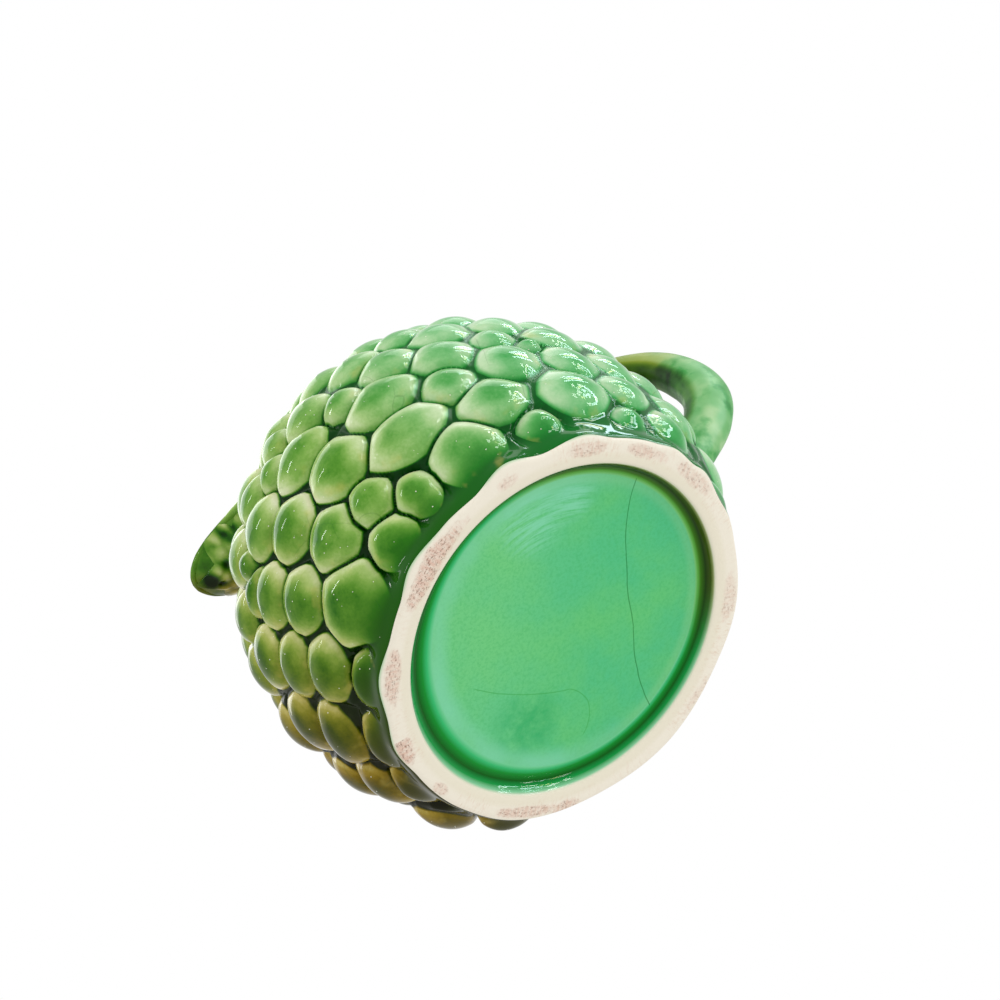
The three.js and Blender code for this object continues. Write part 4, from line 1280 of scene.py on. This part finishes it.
def leaf_veins(across, along, size):
    """Height of a leaf's veins, 0 to 1: one along each lobe, and side veins off those."""
    turn = math.degrees(math.atan2(across, along))
    reach = math.hypot(across, along)
    height = 0.0
    for lobe, length, spread in LEAF_LOBES:
        off = math.radians(lobe_turn(turn, lobe))
        if abs(off) > math.radians(spread):
            continue
        run, beside = reach * math.cos(off), abs(reach * math.sin(off))
        taper = max(0.0, 1 - run / (size * length * 1.05))
        main = math.exp(-((beside / (0.5 + 0.7 * taper)) ** 2)) * (0.5 + 0.5 * taper)
        gap = VEIN_GAP * size / LEAF_SIZE
        between = ((run - beside * 0.9) % gap) / gap
        twig = math.exp(-((min(between, 1 - between) * gap / 0.5) ** 2)) * 0.42
        height = max(height, main, twig)
    return height


def leaf_shell(name, size, lay, thickness, vein_height, material, lumps=None):
    """A closed leaf: lay gives the place of a point so far across and along it and so high.
    It has veins, or else the lumps that are given for each place on it."""
    turns, rings = 200, 34
    points, ridges = [], []
    for face, last in ((1, rings + 1), (0, rings)):
        for ring in range(1, last):
            share = ring / rings
            for i in range(turns):
                turn = 360 * i / turns
                reach = size * leaf_reach(turn) * share
                across = reach * math.sin(math.radians(turn))
                along = reach * math.cos(math.radians(turn))
                if lumps:
                    vein = lumps(across, along)
                else:
                    vein = leaf_veins(across, along, size)
                crown = (1 - share ** 6) * (0.75 + 0.25 * math.cos(share * 3))
                relief = vein_height * vein * (1 - share ** 8)
                height = thickness * crown + relief if face else LEAF_BACK
                points.append(lay(across, along, height if share < 1 or not face else LEAF_EDGE))
                ridges.append(vein if face else 0)
    front = rings * turns
    faces = grid_faces(rings, turns, False, True)
    faces += [tuple(front + v for v in f) for f in grid_faces(rings - 1, turns, False, True)]
    edge, back_edge = (rings - 1) * turns, front + (rings - 2) * turns
    middle = len(points)
    points += [lay(0, 0, thickness + vein_height), lay(0, 0, LEAF_BACK)]
    ridges += [1, 0]
    for i in range(turns):
        beside = (i + 1) % turns
        faces.append((edge + i, edge + beside, back_edge + beside, back_edge + i))
        faces.append((middle, i, beside))
        faces.append((middle + 1, front + beside, front + i))
    piece = mesh_object(name, points, faces, material)
    keep(piece.data, "ridge", ridges)
    return piece


def shoulder_leaf(name, turn, latitude, slant, material):
    """A vine leaf that lies on the grapes of the shoulder, its tip down and aslant."""
    out, around, up = directions(turn, latitude)
    lean = math.radians(slant)
    down = -up * math.cos(lean) + around * math.sin(lean)
    side = np.cross(out, down)

    def lay(across, along, height):
        ray = out * LEAF_SPREAD_RADIUS + side * across + down * along
        ray /= np.linalg.norm(ray)
        place = ray * (LEAF_BED_RADIUS + height)
        return place[0], place[1], place[2] + BODY_HEIGHT

    return leaf_shell(name + "_blade", LEAF_SIZE, lay, 1.2, 0.8, material)


LIP_LEAF_SIZE = 19.8
LIP_LEAF_MIDDLE = 50.3  # distance from the axis
LIP_LEAF_HALF_WIDTH = 15

# Lumps and hollows of the leaf under the lip: distance from the axis, side, half size, height
LIP_LUMPS = [
    (57.1, -11.3, 2.6, 0.8), (53.5, -8.5, 2.6, 0.7), (57.6, -7.6, 2.8, 0.8), (52, -14, 2.4, 0.9),
    (47.4, -13.5, 3, 0.6), (65.4, -6.6, 2, 0.6), (61.5, -7.4, 2.4, 0.45), (61.2, -3, 2, 1),
    (59.7, -0.6, 2, 0.95), (61.3, 4.6, 2.2, 0.8), (57, 3.5, 2.5, 0.7), (54, 8, 3, 0.8),
    (50, 3, 3, 0.7), (47, -6, 3, 0.7), (58, 8.5, 2.4, 0.7), (50, -2, 2.6, 0.6), (48, 10, 3, 0.7),
]
LIP_HOLLOWS = [
    (49.6, -12.5, 1.6, 0.7), (53.6, -11.6, 1.7, 1), (53, -10.2, 1.5, 0.8),
    (64.8, -4.4, 1.3, 0.9), (57.8, -4.2, 1.8, 0.8), (64.2, -0.6, 2.8, 1.25),
    (61.4, 1.7, 1.6, 1), (66.8, 2.4, 1.6, 0.4), (58.3, -10, 1.3, 0.5),
]


def lip_place(across, along):
    """Distance, share of the half width, and side, of a place on the leaf under the lip."""
    distance = min(LIP_TIP - 0.7, LIP_LEAF_MIDDLE + along * 0.93)
    share = max(-0.985, min(0.985, across / LIP_LEAF_HALF_WIDTH))
    return distance, share, share * lip_at(distance)[0]


def lip_relief(across, along):
    """1 on the top of a lump, -1 or less in a hollow."""
    distance, _, side = lip_place(across, along)

    def highest(places):
        return max(tall * math.exp(-1.1 * ((distance - d) ** 2 + (side - s) ** 2) / half ** 2)
                   for d, s, half, tall in places)

    return highest(LIP_LUMPS) - highest(LIP_HOLLOWS)


def spout_leaf(material):
    """The leaf under the lip, which follows the trough's outer skin and thins to its tip."""
    def lay(across, along, height):
        distance, share, side = lip_place(across, along)
        slope = math.atan(LIP_BOWL * abs(share) ** (LIP_BOWL - 1) * 0.55)
        slope *= 1 if share > 0 else -1
        raised = (height + 0.5) * (0.9 - 0.4 * max(0, (distance - 62) / 5.6))
        return (-distance, side + math.sin(slope) * raised * 0.4,
                lip_height(distance, share) - math.cos(slope) * raised)

    return leaf_shell("spout_leaf", LIP_LEAF_SIZE, lay, 1.3, 1.3, material, lip_relief)


# Stage


def stand_camera():
    """The camera below the jug and to one side, as the photograph was taken."""
    camera = put_up("camera", bpy.data.cameras.new("camera"))
    camera.data.lens = 79.2
    camera.data.sensor_width = 36
    camera.data.clip_start = 0.01
    camera.matrix_world = Matrix((
        (0.8122, 0.4882, -0.3194, -0.2040 + AXIS_X * MM),
        (0.2585, -0.7919, -0.5532, -0.3942),
        (-0.523, 0.3667, -0.7694, -0.4723),
        (0, 0, 0, 1),
    ))
    bpy.context.scene.camera = camera


LAMP_AIM = (0, 0, 0.05)  # where the lamps are turned to


def add_lamp(name, place, width, height, brightness, colour=(1, 1, 1), gloss_only=False,
             across=None):
    """A flat lamp turned towards the jug, as bright as it says whatever its size. It lights
    the jug softly, or else it only shows in the gloss of the glaze. Its width lies across."""
    light = bpy.data.lights.new(name, "AREA")
    light.shape = "RECTANGLE"
    light.size, light.size_y = width, height
    light.energy = brightness * math.pi * width * height
    light.color = colour
    lamp = put_up(name, light)
    lamp.location = place
    away = (Vector(place) - Vector(LAMP_AIM)).normalized()
    if across:
        sideways = (across - across.dot(away) * away).normalized()
        upwards = away.cross(sideways)
        lamp.rotation_euler = Matrix((sideways, upwards, away)).transposed().to_euler()
    else:
        lamp.rotation_euler = (-away).to_track_quat("-Z", "Y").to_euler()
    lamp.visible_camera = False
    lamp.visible_diffuse = not gloss_only
    lamp.visible_glossy = gloss_only


# Light in the window's panes
SKY_BLUE = (0.72, 0.9, 1)
PALE = (0.95, 1, 0.97)
SUNLIT = (1, 0.95, 0.45)

# The round-sided window that shows in the grapes, as shares of its width: how far across and
# how far down each pane's middle is, its width and height, its slant and its colour
ROUND_WINDOW = [
    (-0.47, -0.32, 0.1, 0.34, 8, PALE), (-0.13, -0.4, 0.22, 0.13, 25, PALE),
    (0.1, -0.3, 0.24, 0.14, 33, SKY_BLUE), (0.31, -0.17, 0.23, 0.15, 42, SKY_BLUE),
    (0.45, 0, 0.22, 0.14, 68, PALE), (0.49, 0.2, 0.22, 0.14, 95, SKY_BLUE),
    (0.38, 0.37, 0.22, 0.14, 128, SKY_BLUE), (0.14, 0.48, 0.24, 0.14, 160, PALE),
    (-0.22, -0.25, 0.14, 0.1, 0, SUNLIT), (-0.28, -0.1, 0.13, 0.13, 0, PALE),
    (-0.07, -0.08, 0.18, 0.15, 10, SKY_BLUE), (0.12, 0.06, 0.16, 0.19, 20, SKY_BLUE),
    (-0.28, 0.1, 0.16, 0.14, 0, PALE), (-0.05, 0.18, 0.18, 0.14, 0, SKY_BLUE),
    (-0.32, 0.25, 0.14, 0.11, 0, PALE), (-0.14, 0.33, 0.18, 0.09, -10, SUNLIT),
    (-0.5, 0.37, 0.12, 0.25, -20, PALE),
]

# Bars of light low down, and panes under the jug that show in the groove
LONG_BARS = [(0, -0.36, 1, 0.1, 0, SKY_BLUE), (0, -0.05, 0.9, 0.07, 0, PALE),
             (0, 0.1, 0.7, 0.05, 0, SUNLIT), (0, 0.36, 1, 0.1, 0, SKY_BLUE)]
LOW_PANES = [(-0.4, 0, 0.2, 0.3, 0, PALE), (-0.14, 0.05, 0.12, 0.3, 0, SUNLIT),
             (0.1, 0, 0.12, 0.3, 0, SKY_BLUE), (0.36, -0.05, 0.2, 0.3, 0, PALE)]


def add_window(name, place, across, down, width, brightness, panes):
    """A window of separate panes, which only shows in the gloss of the glaze."""
    middle, across, down = Vector(place), Vector(across), Vector(down)
    for i, (right, below, wide, high, slant, tint) in enumerate(panes):
        spot = middle + (across * right + down * below) * width
        turn = math.radians(slant)
        along = across * math.cos(turn) + down * math.sin(turn)
        add_lamp(name + str(i), spot, wide * width, high * width, brightness, tint, True, along)


def light_stage():
    """A white room with soft lamps, and windows that only show in the gloss."""
    world = bpy.data.worlds.new("studio")
    bpy.context.scene.world = world
    world.use_nodes = True
    web = Web(world.node_tree)
    world.node_tree.nodes.clear()
    path = web.node("ShaderNodeLightPath").socket.node
    rays = [Strand(web, path.outputs[kind])
            for kind in ("Is Camera Ray", "Is Glossy Ray", "Is Transmission Ray")]
    backdrop = web.node("ShaderNodeBackground", {"Color": (1, 1, 1, 1), "Strength": 1.0})
    soft = web.node("ShaderNodeBackground", {"Color": (1, 0.99, 0.96, 1), "Strength": 0.9})
    seen = (rays[0] + rays[1] + rays[2]).least(1)
    web.node("ShaderNodeOutputWorld", [web.node("ShaderNodeMixShader", [seen, soft, backdrop])])
    add_lamp("soft_high", (-0.5, -0.9, 0.9), 0.7, 0.7, 2.0)
    add_lamp("soft_low", (0.7, -0.6, -0.5), 0.7, 0.7, 1.4)
    add_lamp("sky_left", (-0.42, 0.16, 1.95), 1.5, 1.5, 2.2, gloss_only=True)
    add_lamp("sky_top", (1.16, -0.6, 1.55), 1.0, 1.0, 2.2, gloss_only=True)
    across, down = (0.395, 0.917, -0.05), (-0.39, 0.04, -0.92)
    add_window("bay_pane_", (0.87, -0.4, -0.02), across, down, 0.62, 32, ROUND_WINDOW)
    add_window("long_bar_", (0.76, -0.35, 0.55), across, down, 0.44, 24, LONG_BARS)
    add_window("low_pane_", (0.64, -0.24, -0.68), across, down, 0.42, 26, LOW_PANES)
    add_lamp("slit", (-0.8, -0.54, 0.75), 0.36, 0.06, 32, gloss_only=True)


def floor_stage():
    """A pale floor that fades into the white backdrop, and hides nothing from below."""
    mesh = bpy.data.meshes.new("floor")
    far, low = 6.0, -0.0006
    corners = [(-far, -far, low), (far, -far, low), (far, far, low), (-far, far, low)]
    mesh.from_pydata(corners, [], [(0, 1, 2, 3)])
    floor = put_up("floor", mesh)
    material = bpy.data.materials.new("pale_floor")
    material.use_nodes = True
    web = Web(material.node_tree)
    material.node_tree.nodes.clear()
    seen = web.node("ShaderNodeLightPath", out="Is Camera Ray")
    back = web.node("ShaderNodeNewGeometry", out="Backfacing")
    reach = web.node("ShaderNodeTexCoord", out="Object").length()
    shown = seen * (1 - back) * web.band(reach, 3.0, 0.6)
    clear = web.node("ShaderNodeBsdfTransparent")
    pale = web.node("ShaderNodeBsdfDiffuse", {"Color": (0.9, 0.9, 0.9, 1)})
    web.node("ShaderNodeOutputMaterial", [web.node("ShaderNodeMixShader", [shown, clear, pale])])
    mesh.materials.append(material)


# Putting it together


def belongs(piece, slot, *nodes):
    """Says which body the piece moves with and hides the solids that it stands in for. Its slot is
    not used.
    """
    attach(piece, "root")
    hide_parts(*nodes)


stand_camera()
light_stage()
floor_stage()

bowl, collar = grape_bunch()
belongs(bowl, "green_glaze", "grape_body")
belongs(collar, "green_glaze", "grape_shoulder")
belongs(foot_piece(), "bare_clay", "foot_ring")
belongs(base_piece(), "base_glaze", "base_floor")

mouth = mouth_glaze()
leafy = leaf_glaze()
belongs(neck_piece(mouth), "leaf_glaze", "neck")
belongs(rim_piece(mouth), "leaf_glaze", "mouth_rim")
belongs(handle_piece(branch_glaze()), "leaf_glaze", "handle")
belongs(spout_piece(mouth), "green_glaze", "pouring_lip")
belongs(spout_leaf(lip_glaze()), "green_glaze", "lip_leaf")
for name, *place in SHOULDER_LEAVES:
    belongs(shoulder_leaf(name, *place, leafy), "leaf_glaze", name)

view = bpy.context.scene.view_settings
view.view_transform = "Standard"
